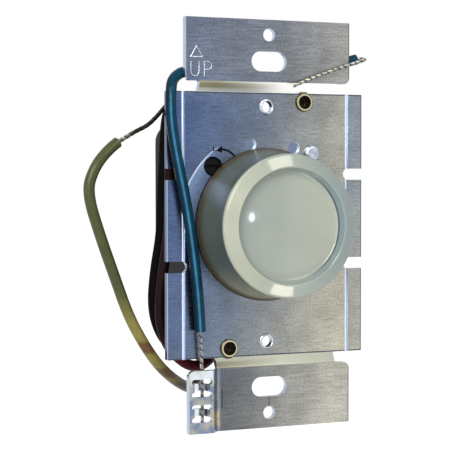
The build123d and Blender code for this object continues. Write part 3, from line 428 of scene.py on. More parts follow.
def brushed_aluminium(finish):
    """Rolled aluminium sheet, brushed from side to side.

    The eye sees fine streaks across, and painted light: a cool to warm drift, bright score lines and bends.
    """
    material, tree, shader, place = start_material("brushed_aluminium", Metallic=1.0)
    axis = add(tree, "SeparateXYZ", {0: place}).node.outputs
    side = add(tree, "Math", {0: axis["X"]}, operation="ABSOLUTE")
    height = add(tree, "Math", {0: axis["Z"]}, operation="ABSOLUTE")
    bend = add(tree, "Math", {0: height, 1: BEND_Z * MM, 2: BEND_HALF * MM}, operation="COMPARE")
    # Brush marks 0.22 mm wide and 4 mm long: real ones are a tenth of that and would not show
    fine_map = add(tree, "Mapping", {"Vector": place, "Scale": (per_mm(4), per_mm(3), 1 / finish.brush)})
    fine = add(tree, "TexNoise", {"Vector": fine_map, "Scale": 1.0, "Detail": 4.0})
    speck = add(tree, "TexNoise", {"Vector": place, "Scale": per_mm(0.5), "Detail": 3.0})
    grain = add(tree, "Mix", {0: 0.5, 2: fine, 3: speck})
    shade = add(tree, "MapRange", {
        "Value": grain, "From Min": 0.35, "From Max": 0.65, "To Min": 0.7, "To Max": 1.3})
    smear = add(tree, "TexNoise", {"Vector": place, "Scale": per_mm(9), "Detail": 4.0})
    smear = add(tree, "MapRange", {
        "Value": smear, "From Min": 0.35, "From Max": 0.65, "To Min": 0.86, "To Max": 1.12})
    tone = sheet_tone(tree, axis, height, finish)
    for wear in (shade, smear):
        tone = add(tree, "Mix", {0: 1.0, 6: tone, 7: wear}, data_type="RGBA", blend_type="MULTIPLY")
    tone = sheet_bends(tree, axis, height, bend, tone)
    tone = sheet_marks(tree, place, axis, tone)
    tone = staking_tab_tone(tree, place, axis, tone)
    tone = sheet_edges(tree, axis, side, height, tone, finish)
    rough = add(tree, "MapRange", {"Value": grain, **NOISE_SPAN, "To Min": 0.22, "To Max": 0.34})
    # Bends and grooves are pressed smooth
    score = add(tree, "Math", {0: side, 1: SCORE_X * MM, 2: 0.5 * MM}, operation="COMPARE")
    pressed = add(tree, "Math", {0: bend, 1: score}, operation="MAXIMUM")
    rough = add(tree, "MapRange", {"Value": pressed, "To Min": rough, "To Max": 0.3})
    depth = add(tree, "MapRange", {"Value": pressed, "To Min": 0.2, "To Max": 0.0})
    bump = add(tree, "Bump", {"Strength": depth, "Distance": 0.015 * MM, "Height": grain})
    wire(shader, Base_Color=tone, Roughness=rough, Normal=bump)
    return material


def ivory_moulding(finish):
    """Polished ivory urea moulding, a little see-through.

    The eye sees a soft waxy face and rim, painted lit on the left and cooler, darker on the right, a thin
    satin skirt dark at the sides, partly as painted shade, and painted lit tan below, and painted amber
    shade at the foot, tinted as light running along it would be.
    """
    material, tree, shader, place = start_material(
        "ivory_moulding", IOR=1.5, Subsurface_Weight=0.1, Subsurface_Scale=0.003,
        Subsurface_Radius=(1.0, 0.9, 0.55))
    axis = add(tree, "SeparateXYZ", {0: place}).node.outputs
    flat = add(tree, "VectorMath", {0: place, 1: (1.0, 0.0, 1.0)}, operation="MULTIPLY")
    reach = add(tree, "VectorMath", {0: flat}, operation="LENGTH")
    # Painted light and shade: face, rim and wall are lit on the left, cooler and darker on the right
    right = add(tree, "MapRange", {"Value": axis["X"], **span(-15, 15)})
    face = add(tree, "Mix", {0: right, 6: finish.face_left, 7: finish.face}, data_type="RGBA")
    rim = add(tree, "Mix", {0: right, 6: finish.rim, 7: finish.shade}, data_type="RGBA")
    wall = add(tree, "Mix", {0: right, 6: finish.rim, 7: finish.wall}, data_type="RGBA")
    dish = add(tree, "MapRange", {"Value": reach, **span(13.4, 13.8)}, interpolation_type="SMOOTHSTEP")
    # Painted shade: a dark line in the corner along the right of the recess
    line = add(tree, "Math", {0: reach, 1: 13.7 * MM, 2: 0.16 * MM}, operation="COMPARE")
    far = add(tree, "MapRange", {"Value": axis["X"], **span(5, 11), "To Max": 0.85})
    line = add(tree, "Math", {0: line, 1: far}, operation="MULTIPLY")
    crest = add(tree, "MapRange", {"Value": reach, **span(14.4, 14.7)})
    # Skirt behind the rim: painted shade at the sides and painted light, tan, below
    lower = add(tree, "MapRange", {"Value": axis["Z"], **span(-9, -18)}, interpolation_type="SMOOTHSTEP")
    skirt = add(tree, "Mix", {0: lower, 6: finish.skirt, 7: finish.glow}, data_type="RGBA")
    behind = add(tree, "MapRange", {
        "Value": axis["Y"], **span(-14.2, -12.4)}, interpolation_type="SMOOTHSTEP")
    outside = add(tree, "Math", {0: reach, 1: 16.5 * MM}, operation="GREATER_THAN")
    behind = add(tree, "Math", {0: behind, 1: outside}, operation="MULTIPLY")
    # Painted amber shade at the foot by the plate
    foot = add(tree, "MapRange", {"Value": axis["Y"], **span(-3.2, -0.9)}, interpolation_type="SMOOTHSTEP")
    tone = face
    layers = ((dish, wall), (line, srgb("33454F")), (crest, rim), (behind, skirt), (foot, finish.foot))
    for share, colour in layers:
        tone = add(tree, "Mix", {0: share, 6: tone, 7: colour}, data_type="RGBA")
    cloud = add(tree, "TexNoise", {"Vector": place, "Scale": per_mm(11), "Detail": 2.0})
    cloud = add(tree, "MapRange", {"Value": cloud, **NOISE_SPAN, "To Min": 0.95, "To Max": 1.04})
    tone = add(tree, "Mix", {0: 1.0, 6: tone, 7: cloud}, data_type="RGBA", blend_type="MULTIPLY")
    polish = add(tree, "MapRange", {"Value": crest, "To Min": 0.035, "To Max": 0.1})
    rough = add(tree, "MapRange", {"Value": behind, "To Min": polish, "To Max": 0.36})
    # Faint polishing waves 3 mm apart
    wave = add(tree, "TexNoise", {"Vector": place, "Scale": per_mm(3), "Detail": 1.0})
    bump = add(tree, "Bump", {"Strength": 0.05, "Distance": 0.02 * MM, "Height": wave})
    wire(shader, Base_Color=tone, Roughness=rough, Normal=bump)
    return material


def drawn_brass():
    """Drawn brass dulled by air: olive with brown patches.

    Each rivet has a painted highlight ring round its bore, a dark outer rim, and nearly black painted shade
    within.
    """
    material, tree, shader, place = start_material("drawn_brass", Metallic=1.0)
    patch = add(tree, "TexNoise", {"Vector": place, "Scale": per_mm(1.2), "Detail": 5.0})
    tone = add(tree, "Mix", {0: patch, 6: srgb("A09A74"), 7: srgb("6C664A")}, data_type="RGBA")
    # Both rivets at once: their places mirror each other about the knob's axis
    fold = add(tree, "VectorMath", {0: place}, operation="ABSOLUTE")
    fold = add(tree, "VectorMath", {0: fold, 1: (1.0, 0.0, 1.0)}, operation="MULTIPLY")
    reach = add(tree, "VectorMath", {0: fold, 1: (RIVET_X * MM, 0.0, RIVET_Z * MM)}, operation="DISTANCE")
    depth = add(tree, "SeparateXYZ", {0: place}, "Y")
    front = add(tree, "Math", {0: depth, 1: 3.1 * MM}, operation="LESS_THAN")
    # Painted highlight ring round the bore, then painted shade in the bore
    for outer, inner, colour in ((2.12, 1.98, "CBC6A4"), (1.82, 1.7, "2A2320")):
        ring = add(tree, "MapRange", {"Value": reach, **span(outer, inner), "To Max": front})
        tone = add(tree, "Mix", {0: ring, 6: tone, 7: srgb(colour)}, data_type="RGBA")
    rim = add(tree, "Math", {0: reach, 1: 2.42 * MM, 2: 0.16 * MM}, operation="COMPARE")
    tone = add(tree, "Mix", {0: rim, 6: tone, 7: srgb("3C3626")}, data_type="RGBA")
    rough = add(tree, "MapRange", {"Value": patch, "To Min": 0.15, "To Max": 0.45})
    wire(shader, Base_Color=tone, Roughness=rough)
    return material


def tinned_strands():
    """Twisted tinned copper: silver tops, painted shade in the gaps and on the undersides, and darker left
    ends.

    The gaps' painted shade is drawn 1.7 mm apart along a bundle, wider than real gaps, which would not show.
    """
    material, tree, shader, place = start_material("tinned_copper", Metallic=1.0)
    patch = add(tree, "TexNoise", {"Vector": place, "Scale": per_mm(0.7), "Detail": 5.0})
    share = add(tree, "MapRange", {"Value": patch, "From Min": 0.46, "From Max": 0.72})
    tone = add(tree, "Mix", {0: share, 6: srgb("E2DFD6"), 7: srgb("6E6860")}, data_type="RGBA")
    # Painted shade on the undersides, in the gaps between strands and in slanted ticks along the twist
    facing = add(tree, "NewGeometry", output="Normal")
    under = add(tree, "VectorMath", {0: facing, 1: (0.6, 0.0, -0.8)}, operation="DOT_PRODUCT")
    under = add(tree, "MapRange", {"Value": under, "From Min": 0.0, "From Max": 0.5, "To Max": 0.9})
    gap = add(tree, "AmbientOcclusion", {"Distance": 0.25 * MM}, "AO", samples=8)
    gap = add(tree, "MapRange", {"Value": gap, "From Min": 0.75, "From Max": 0.35, "To Max": 0.9})
    slant = add(tree, "VectorMath", {0: place, 1: (1.0, 0.0, 1.5)}, operation="DOT_PRODUCT")
    # The slanted measure grows by 1.45 mm for each millimetre along a bundle
    tick = add(tree, "Math", {0: slant, 1: math.tau * per_mm(1.7 * 1.45)}, operation="MULTIPLY")
    tick = add(tree, "Math", {0: tick}, operation="SINE")
    tick = add(tree, "MapRange", {"Value": tick, "From Min": 0.2, "From Max": 0.9, "To Max": 0.8})
    across = add(tree, "SeparateXYZ", {0: place}, "X")
    start = add(tree, "MapRange", {"Value": across, **span(-38, -35.5)})
    stop = add(tree, "Math", {0: across, 1: -20 * MM}, operation="LESS_THAN")
    dark = add(tree, "Math", {0: start, 1: stop}, operation="MULTIPLY")
    dark = add(tree, "Math", {0: dark, 1: 0.95}, operation="MULTIPLY")
    staked = add(tree, "MapRange", {"Value": across, **span(-8, -14), "To Max": 0.4})
    for share in (under, gap, tick, dark, staked):
        tone = add(tree, "Mix", {0: share, 6: tone, 7: srgb("26221E")}, data_type="RGBA")
    rough = add(tree, "MapRange", {"Value": patch, **NOISE_SPAN, "To Min": 0.2, "To Max": 0.38})
    wire(shader, Base_Color=tone, Roughness=rough)
    return material


def plated_metal(name, bright, dull, spot, roughness):
    """Bare or plated metal with a patchy tarnish; spot is the size of a patch in millimetres."""
    material, tree, shader, place = start_material(name, Metallic=1.0)
    patch = add(tree, "TexNoise", {"Vector": place, "Scale": per_mm(spot), "Detail": 5.0})
    share = add(tree, "MapRange", {"Value": patch, "From Min": 0.38, "From Max": 0.68})
    tone = add(tree, "Mix", {0: share, 6: srgb(bright), 7: srgb(dull)}, data_type="RGBA")
    rough = add(tree, "MapRange", {
        "Value": patch, **NOISE_SPAN, "To Min": roughness, "To Max": roughness + 0.18})
    bump = add(tree, "Bump", {"Strength": 0.2, "Distance": 0.02 * MM, "Height": patch})
    wire(shader, Base_Color=tone, Roughness=rough, Normal=bump)
    return material


def moulded_plastic(name, colour, speck, roughness, depth=0.02, specular=0.5, lower=None, streaks=()):
    """Moulded or extruded plastic with a fine texture; speck is its grain in millimetres.

    A second colour, painted light, shows on its lower part, from 33 mm below the knob's axis. Streaks paint
    highlights and shade on surfaces facing one way; each has the direction it faces, how closely a surface
    faces that way where it starts and ends, its share and its colour.
    """
    material, tree, shader, place = start_material(name, IOR=1.5, Specular_IOR_Level=specular)
    # Painted light on the lower part
    if lower:
        height = add(tree, "SeparateXYZ", {0: place}, "Z")
        share = add(tree, "MapRange", {"Value": height, **span(-29, -33)})
        colour = add(tree, "Mix", {0: share, 6: colour, 7: lower}, data_type="RGBA")
    # Painted highlights and shade by the way the surface faces
    for toward, low, high, most, tint in streaks:
        facing = add(tree, "NewGeometry", output="Normal")
        share = add(tree, "VectorMath", {0: facing, 1: toward}, operation="DOT_PRODUCT")
        share = add(tree, "MapRange", {
            "Value": share, "From Min": low, "From Max": high, "To Max": most},
            interpolation_type="SMOOTHSTEP")
        colour = add(tree, "Mix", {0: share, 6: colour, 7: srgb(tint)}, data_type="RGBA")
    grain = add(tree, "TexNoise", {"Vector": place, "Scale": per_mm(speck), "Detail": 4.0})
    share = add(tree, "MapRange", {"Value": grain, **NOISE_SPAN, "To Min": 0.82, "To Max": 1.16})
    tone = add(tree, "Mix", {0: 1.0, 6: colour, 7: share}, data_type="RGBA", blend_type="MULTIPLY")
    rough = add(tree, "MapRange", {
        "Value": grain, **NOISE_SPAN, "To Min": roughness, "To Max": roughness + 0.12})
    bump = add(tree, "Bump", {"Strength": 0.3, "Distance": depth * MM, "Height": grain})
    wire(shader, Base_Color=tone, Roughness=rough, Normal=bump)
    return material


def aged_yellow_vinyl(colour):
    """Extruded vinyl gone olive with age, golden towards its lower bend, with brown bands 7.2 mm apart."""
    material, tree, shader, place = start_material(
        "aged_yellow_vinyl", IOR=1.52, Roughness=0.3, Specular_IOR_Level=0.3)
    height = add(tree, "SeparateXYZ", {0: place}, "Z")
    lower = add(tree, "MapRange", {"Value": height, **span(-15, -26)}, interpolation_type="SMOOTHSTEP")
    tone = add(tree, "Mix", {0: lower, 6: colour, 7: srgb("857C3E")}, data_type="RGBA")
    # Spacing of the bands, and how far the first one is below the knob's axis, in millimetres
    gap, first = 7.2, 30.7
    turn = add(tree, "Math", {
        0: height, 1: math.tau * per_mm(gap), 2: math.tau * first / gap}, operation="MULTIPLY_ADD")
    ring = add(tree, "Math", {0: turn}, operation="COSINE")
    ring = add(tree, "MapRange", {
        "Value": ring, "From Min": -0.2, "From Max": 0.7}, interpolation_type="SMOOTHSTEP")
    start = add(tree, "MapRange", {"Value": height, **span(-26.5, -28.5)})
    ring = add(tree, "Math", {0: ring, 1: start}, operation="MULTIPLY")
    shade = add(tree, "MapRange", {"Value": height, **span(-39.5, -41.5)})
    # Brown bands, and painted shade on the lead's lowest part
    for share, dark in ((ring, "624522"), (shade, "46371F")):
        tone = add(tree, "Mix", {0: share, 6: tone, 7: srgb(dark)}, data_type="RGBA")
    grain = add(tree, "TexNoise", {"Vector": place, "Scale": per_mm(2.5), "Detail": 4.0})
    share = add(tree, "MapRange", {"Value": grain, **NOISE_SPAN, "To Min": 0.84, "To Max": 1.12})
    tone = add(tree, "Mix", {0: 1.0, 6: tone, 7: share}, data_type="RGBA", blend_type="MULTIPLY")
    bump = add(tree, "Bump", {"Strength": 0.3, "Distance": 0.006 * MM, "Height": grain})
    wire(shader, Base_Color=tone, Normal=bump)
    return material


def wound_copper():
    """Enamelled copper wire, wound close: copper ridges 0.6 mm apart under clear enamel."""
    material, tree, shader, place = start_material("wound_copper", Metallic=1.0, Roughness=0.3)
    wave = add(tree, "TexWave", {
        "Vector": place, "Scale": per_mm(0.6) / math.tau, "Distortion": 1.5}, "Fac",
        wave_type="BANDS", bands_direction="X")
    tone = add(tree, "Mix", {0: wave, 6: srgb("6A2F14"), 7: srgb("C46A38")}, data_type="RGBA")
    bump = add(tree, "Bump", {"Strength": 0.6, "Distance": 0.1 * MM, "Height": wave})
    wire(shader, Base_Color=tone, Normal=bump)
    return material


def make_materials():
    """One material for each slot of the record."""
    scene = bpy.context.scene
    lead = scene.fan_leads
    return {
        "sheet_aluminium": brushed_aluminium(scene.fan_sheet),
        "knob_ivory": ivory_moulding(scene.fan_knob),
        "eyelet_brass": drawn_brass(),
        # Zinc on steel: pale blue-white, lightly spangled
        "bright_steel": plated_metal("zinc_plate", "C4CCD8", "9AA4B0", 0.9, 0.2),
        "tinned_copper": tinned_strands(),
        # Sintered ferrite: dark grey and dull
        "ferrite_grey": plated_metal("sintered_ferrite", "4A4A4D", "343437", 0.5, 0.5),
        "enamelled_copper": wound_copper(),
        # Compression-moulded phenolic: near black, satin, fine grain
        "black_moulding": moulded_plastic("black_phenolic", srgb("0C0D0E"), 0.5, 0.45, 0.02, 0.1),
        # Paper laminate: tan with darker fibre flecks
        "tan_wafer": moulded_plastic("paper_laminate", srgb("B08A52"), 0.8, 0.45),
        "insulator_film": moulded_plastic("polyimide_film", srgb("C98A2C"), 3.0, 0.25),
        "capacitor_yellow": moulded_plastic("yellow_case", srgb("CFAE3C"), 0.7, 0.35),
        "capacitor_green": moulded_plastic("green_dip", srgb("4E7A4A"), 1.5, 0.2),
        "resistor_tan": moulded_plastic("tan_lacquer", srgb("C7AC7C"), 1.0, 0.3),
        "trimmer_blue": moulded_plastic("blue_moulding", srgb("23508F"), 0.6, 0.35),
        # Extruded vinyl: smooth and glossy with faint die lines and handling marks
        # The green one has a painted pale blue highlight down its front and painted shade on its left side
        "green_insulation": moulded_plastic("green_vinyl", lead.green, 2.5, 0.12, 0.004, 0.1, streaks=(
            ((-0.32, -0.947, 0.0), 0.965, 0.995, 0.65, "4A86B0"),
            ((-0.95, 0.31, 0.0), 0.15, 0.75, 0.8, "02141F"))),
        "yellow_insulation": aged_yellow_vinyl(lead.yellow),
        "black_insulation": moulded_plastic("black_vinyl", lead.black, 2.5, 0.6, 0.004, 0.05),
        # Painted shade: the red lead is near black by the plate, and painted lit red below it
        "red_insulation": moulded_plastic("red_vinyl", lead.red, 2.5, 0.45, 0.004, 0.1, srgb("5A1824")),
    }


def dress(piece, material, body="base"):
    """Give a finished piece its material and its body."""
    piece.data.materials.clear()
    piece.data.materials.append(material)
    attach(piece, body)
    return piece


def only(piece):
    """Select this object alone."""
    bpy.ops.object.select_all(action="DESELECT")
    piece.select_set(True)
    bpy.context.view_layer.objects.active = piece


def edit_whole():
    """Go into edit mode with the active object's whole mesh selected."""
    bpy.ops.object.mode_set(mode="EDIT")
    bpy.ops.mesh.select_all(action="SELECT")


def finish_mesh(piece, angle=35):
    """Merge, turn faces outwards, smooth by angle and put the place into the mesh."""
    only(piece)
    bpy.ops.object.transform_apply(location=True, rotation=True, scale=True)
    edit_whole()
    bpy.ops.mesh.remove_doubles(threshold=0.001 * MM)
    bpy.ops.mesh.normals_make_consistent(inside=False)
    bpy.ops.object.mode_set(mode="OBJECT")
    bpy.ops.object.shade_smooth_by_angle(angle=math.radians(angle))
    return piece


def route_line(name, route):
    """Open smooth curve through a route's control points, with no thickness yet."""
    curve = bpy.data.curves.new(name, "CURVE")
    curve.dimensions = "3D"
    spline = curve.splines.new("NURBS")
    spline.points.add(len(route) - 1)
    for point, place in zip(spline.points, route):
        point.co = (*[v * MM for v in place], 1.0)
    spline.use_endpoint_u = True
    spline.order_u = 3
    spline.resolution_u = 14
    piece = bpy.data.objects.new(name, curve)
    bpy.context.scene.collection.objects.link(piece)
    return piece


def centreline(route):
    """Points along a route's smooth curve, each with two directions square to it."""
    guide = route_line("guide", route)
    guide.data.splines[0].resolution_u = 40
    mesh = bpy.data.meshes.new_from_object(guide)
    points = [v.co.copy() for v in mesh.vertices]
    bpy.data.objects.remove(guide)
    # A direction that no route starts along
    side = Vector((0.31, 0.9, 0.3))
    rows = []
    for i, point in enumerate(points):
        along = (points[min(i + 1, len(points) - 1)] - points[max(i - 1, 0)]).normalized()
        side = (side - along * side.dot(along)).normalized()
        rows.append((point, side.copy(), along.cross(side)))
    return rows


def round_wires(name, lines, radius, angle):
    """One mesh of round wires, each along a line of points in metres."""
    curve = bpy.data.curves.new(name, "CURVE")
    curve.dimensions = "3D"
    curve.bevel_depth = radius
    curve.bevel_resolution = 2
    curve.use_fill_caps = True
    for line in lines:
        spline = curve.splines.new("POLY")
        spline.points.add(len(line) - 1)
        for point, place in zip(spline.points, line):
            point.co = (*place, 1.0)
    piece = bpy.data.objects.new(name, curve)
    bpy.context.scene.collection.objects.link(piece)
    only(piece)
    bpy.ops.object.convert(target="MESH")
    return finish_mesh(bpy.context.object, angle)


def twisted_strands(name, route, bundle, lay):
    """Seven strands, six twisted round one, cut to slightly different lengths."""
    rows = centreline(route)
    lines = []
    for k in range(7):
        reach = 0 if k == 6 else bundle / 3
        kept = rows[:len(rows) - 1 - (k * 3) % 5]
        run = 0.0
        lines.append([])
        for i, (point, side, up) in enumerate(kept):
            run += (point - kept[max(i - 1, 0)][0]).length
            turn = math.tau * (run / lay + k / 6)
            lines[-1].append(point + reach * (math.cos(turn) * side + math.sin(turn) * up))
    # Slightly thick, so that neighbours touch
    return round_wires(name, lines, bundle / 6 * 1.04, 60)


def turned_rim(name, centre, rows, toward, segments=40):
    """Closed ring from rows of (radius, height) in millimetres, standing on centre along toward."""
    bpy.ops.object.select_all(action="DESELECT")
    bpy.ops.mesh.primitive_circle_add(vertices=segments, radius=rows[0][0] * MM, fill_type="NOTHING")
    piece = bpy.context.object
    piece.name = name
    edit_whole()
    bpy.ops.transform.translate(value=(0, 0, rows[0][1] * MM))
    for (r0, h0), (r1, h1) in zip(rows, rows[1:] + rows[:1]):
        bpy.ops.mesh.extrude_edges_move(TRANSFORM_OT_translate={"value": (0, 0, (h1 - h0) * MM)})
        bpy.ops.transform.resize(value=(r1 / r0, r1 / r0, 1))
    bpy.ops.object.mode_set(mode="OBJECT")
    piece.matrix_world = (
        Matrix.Translation(Vector(centre) * MM) @ Vector(toward).to_track_quat("Z", "Y").to_matrix().to_4x4())
    return finish_mesh(piece)


def join_pieces(pieces, name):
    """Make several finished meshes one piece."""
    only(pieces[0])
    for piece in pieces:
        piece.select_set(True)
    bpy.ops.object.join()
    joined = bpy.context.object
    joined.name = name
    return joined


def bead_strokes(name, strokes, y, bead):
    """Embossed lines on the plane y, one round bead along each stroke of (x, z) points in millimetres."""
    lines = [[(x * MM, y * MM, z * MM) for x, z in stroke] for stroke in strokes]
    return round_wires(name, lines, bead / 2, 35)


def ink_letter(body, low, high, y, thick):
    """Printed letter that fills the box low to high (x, z in millimetres) on the plane y."""
    bpy.ops.object.select_all(action="DESELECT")
    bpy.ops.object.text_add()
    bpy.context.object.data.body = body
    bpy.ops.object.convert(target="MESH")
    piece = bpy.context.object
    corners = [Vector(c) for c in piece.bound_box]
    least = [min(c[i] for c in corners) for i in (0, 1)]
    most = [max(c[i] for c in corners) for i in (0, 1)]
    scale = [(high[i] - low[i]) * MM / (most[i] - least[i]) for i in (0, 1)]
    fit = Matrix.Translation((low[0] * MM - least[0] * scale[0], y * MM, low[1] * MM - least[1] * scale[1]))
    stand = Matrix(((scale[0], 0, 0, 0), (0, 0, -1, 0), (0, scale[1], 0, 0), (0, 0, 0, 1)))
    piece.data.transform(fit @ stand)
    only(piece)
    edit_whole()
    bpy.ops.mesh.extrude_region_move(TRANSFORM_OT_translate={"value": (0, -thick, 0)})
    bpy.ops.object.mode_set(mode="OBJECT")
    return finish_mesh(piece)


class FANSWITCH_OT_leads(bpy.types.Operator):
    """Four insulated leads, their twisted bare ends and the staked ground strands"""

    bl_idname = "fan_switch.leads"
    bl_label = "Leads"

    def execute(self, context):
        sizes = context.scene.fan_leads
        ground = twisted_strands("ground_strands", GROUND_ROUTE, sizes.bundle, sizes.lay)
        dress(ground, MATERIALS["tinned_copper"])
        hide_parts("ground_conductor")
        for colour, (route, end, leaves, length, wide) in LEADS.items():
            strands = twisted_strands(f"{colour}_strands", end, sizes.bundle * wide, sizes.lay)
            dress(strands, MATERIALS["tinned_copper"])
            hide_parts(f"{colour}_lead_end")
            lead = route_line(f"{colour}_insulation", route)
            lead.data.bevel_depth = sizes.diameter / 2
            lead.data.bevel_resolution = 7
            lead.data.use_fill_caps = True
            dress(lead, MATERIALS[f"{colour}_insulation"])
            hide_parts(f"{colour}_lead")
        return {"FINISHED"}


class FANSWITCH_OT_orientation_mark(bpy.types.Operator):
    """Embossed pointer and word on the upper ear that say which end goes up"""

    bl_idname = "fan_switch.orientation_mark"
    bl_label = "Orientation mark"

    def execute(self, context):
        bead = context.scene.fan_marks.bead
        strokes = bead_strokes("word", [
            [(-21.5, 41.2), (-21.5, 38.6), (-21.1, 37.7), (-20.4, 37.5), (-19.7, 37.7), (-19.3, 38.6),
             (-19.3, 41.2)],
            [(-17.9, 37.5), (-17.9, 41.2), (-16.7, 41.2), (-16.1, 40.8), (-15.9, 40.2), (-16.1, 39.6),
             (-16.7, 39.2), (-17.9, 39.2)],
        ], EAR_FRONT, bead)
        bpy.ops.object.select_all(action="DESELECT")
        bpy.ops.mesh.primitive_circle_add(vertices=3, radius=2.1 * MM, fill_type="NGON")
        pointer = bpy.context.object
        edit_whole()
        bpy.ops.mesh.inset(thickness=bead)
        bpy.ops.mesh.delete(type="FACE")
        bpy.ops.mesh.select_all(action="SELECT")
        bpy.ops.mesh.extrude_region_move(TRANSFORM_OT_translate={"value": (0, 0, bead / 2)})
        bpy.ops.mesh.select_all(action="SELECT")
        bpy.ops.mesh.bevel(offset=bead * 0.3, segments=2)
        bpy.ops.object.mode_set(mode="OBJECT")
        pointer.matrix_world = Matrix.Translation(Vector((-19.96, EAR_FRONT, 43.2)) * MM) @ Matrix.Rotation(
            math.pi / 2, 4, "X")
        finish_mesh(pointer)
        mark = join_pieces([strokes, pointer], "orientation_mark")
        dress(mark, MATERIALS["bright_steel"])
        return {"FINISHED"}


class FANSWITCH_OT_adjust_mark(bpy.types.Operator):
    """Printed curved arrow and letter beside the trimmer's hole"""

    bl_idname = "fan_switch.adjust_mark"
    bl_label = "Adjusting mark"

    def execute(self, context):
        thick = context.scene.fan_marks.ink
        letter = ink_letter("L", (-14.92, 18.8), (-13.9, 19.95), 0.0, thick)
        # Arc's centre and radius, where it starts and how far it sweeps, its line, and its head and tip
        centre, reach = Vector((-12.73, 0.0, 14.49)) * MM, 4.76 * MM
        turn, sweep = math.radians(22), math.radians(62)
        line, head, tip = 0.5 * MM, 3.6, (-1.5 * MM, 0, -0.35 * MM)
        bpy.ops.object.select_all(action="DESELECT")
        bpy.ops.mesh.primitive_plane_add(size=line)
        arrow = bpy.context.object
        out = Matrix.Rotation(-turn, 4, "Y") @ Matrix.Translation((reach, 0, 0))
        start = Matrix.Translation(centre) @ out
        arrow.matrix_world = start @ Matrix.Rotation(math.pi / 2, 4, "X")
        bpy.ops.object.transform_apply(location=True, rotation=True, scale=True)
        bpy.ops.object.mode_set(mode="EDIT")
        bpy.ops.mesh.select_mode(type="EDGE")
        bpy.ops.mesh.select_all(action="DESELECT")
        bpy.ops.object.mode_set(mode="OBJECT")
        ahead = Vector((-math.sin(turn), 0, math.cos(turn)))
        for vert in arrow.data.vertices:
            vert.select = (vert.co - start.translation).dot(ahead) > 0
        for edge in arrow.data.edges:
            edge.select = all(arrow.data.vertices[i].select for i in edge.vertices)
        bpy.ops.object.mode_set(mode="EDIT")
        bpy.ops.mesh.spin(steps=16, angle=sweep, center=centre, axis=(0, 1, 0))
        bpy.ops.mesh.extrude_edges_move(TRANSFORM_OT_translate={"value": (0, 0, 0)})
        bpy.ops.transform.resize(value=(1, 1, head))
        bpy.ops.mesh.extrude_edges_move(TRANSFORM_OT_translate={"value": tip})
        bpy.ops.mesh.merge(type="CENTER")
        bpy.ops.mesh.select_all(action="SELECT")
        bpy.ops.mesh.extrude_region_move(TRANSFORM_OT_translate={"value": (0, -thick, 0)})
        bpy.ops.object.mode_set(mode="OBJECT")
        finish_mesh(arrow)
        mark = join_pieces([letter, arrow], "adjusting_mark")
        ink = moulded_plastic("screen_ink", srgb("07080A"), 0.4, 0.6, 0.005, 0.05)
        dress(mark, ink)
        return {"FINISHED"}


class FANSWITCH_OT_screw_lips(bpy.types.Operator):
    """Rolled lips round the two cover-plate screw holes"""

    bl_idname = "fan_switch.screw_lips"
    bl_label = "Screw hole lips"

    def execute(self, context):
        rows = [(1.4, 0.0), (1.42, 0.2), (1.55, 0.3), (1.75, 0.28), (1.98, 0.12), (2.05, 0.0)]
        lips = [turned_rim("lip", (0, 0, z), rows, (0, -1, 0)) for z in (COVER_HOLE_Z, -COVER_HOLE_Z)]
        dress(join_pieces(lips, "screw_hole_lips"), MATERIALS["bright_steel"])
        return {"FINISHED"}


class FANSWITCH_OT_housing_details(bpy.types.Operator):
    """Collars at the lead holes and moulding marks on the housing's back"""

    bl_idname = "fan_switch.housing_details"
    bl_label = "Housing details"

    def execute(self, context):
        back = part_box("rear_housing")[1].y / MM
        rows = [(1.75, -0.2), (1.75, 0.7), (1.95, 0.9), (2.35, 0.9), (2.6, 0.6), (2.7, -0.2)]
        parts = [
            turned_rim("collar", (x, y, HOUSING_FOOT_Z), rows, (0, 0, -1))
            for x, y in ((-8.56, 21.0), (-13.1, 12.57), (-8.53, 12.86))
        ]
        mark = [(2.2, -0.1), (2.25, 0.08), (2.6, 0.08), (2.65, -0.1)]
        parts += [
            turned_rim("pin_mark", (x, back, z), mark, (0, 1, 0), 32)
            for x in (14.5, -14.5) for z in (19.5, -19.5)
        ]
        dress(join_pieces(parts, "housing_moulding_marks"), MATERIALS["black_moulding"])
        return {"FINISHED"}


class FANSWITCH_OT_finishes(bpy.types.Operator):
    """Materials for the CAD parts"""

    bl_idname = "fan_switch.finishes"
    bl_label = "Finishes"

    def execute(self, context):
        for row in frame["record"]["subparts"]:
            node = NODES[row["node"]]
            node.data.materials.clear()
            node.data.materials.append(MATERIALS[row["material_slot"]])
        return {"FINISHED"}


def seen_rays(tree):
    """1 for what the camera sees, straight, mirrored or through a clear piece, and 0 for plain light."""
    ray = add(tree, "LightPath").node.outputs
    seen = add(tree, "Math", {0: ray["Is Camera Ray"], 1: ray["Is Glossy Ray"]}, operation="MAXIMUM")
    return add(tree, "Math", {0: seen, 1: ray["Is Transmission Ray"]}, operation="MAXIMUM")


def lay_floor(settings):
    """Floor under the object that looks white and takes its shadow."""
    bpy.ops.object.select_all(action="DESELECT")
    bpy.ops.mesh.primitive_plane_add(size=6.0, location=(0, 0, CAD_BOX[0].z))
    floor = bpy.context.object
    floor.name = "floor"
    material, tree, shader, _ = start_material("pale_floor", Roughness=0.9, Specular_IOR_Level=0.0)
    shader.inputs["Base Color"].default_value = settings.floor
    glow = add(tree, "Emission", {"Color": (1, 1, 1, 1), "Strength": FLOOR_GLOW})
    share = add(tree, "Math", {0: seen_rays(tree), 1: FLOOR_GLOW_SHARE}, operation="MULTIPLY")
    mix = add(tree, "MixShader", {0: share, 1: shader.outputs[0], 2: glow})
    tree.links.new(mix, tree.nodes["Material Output"].inputs["Surface"])
    floor.data.materials.append(material)


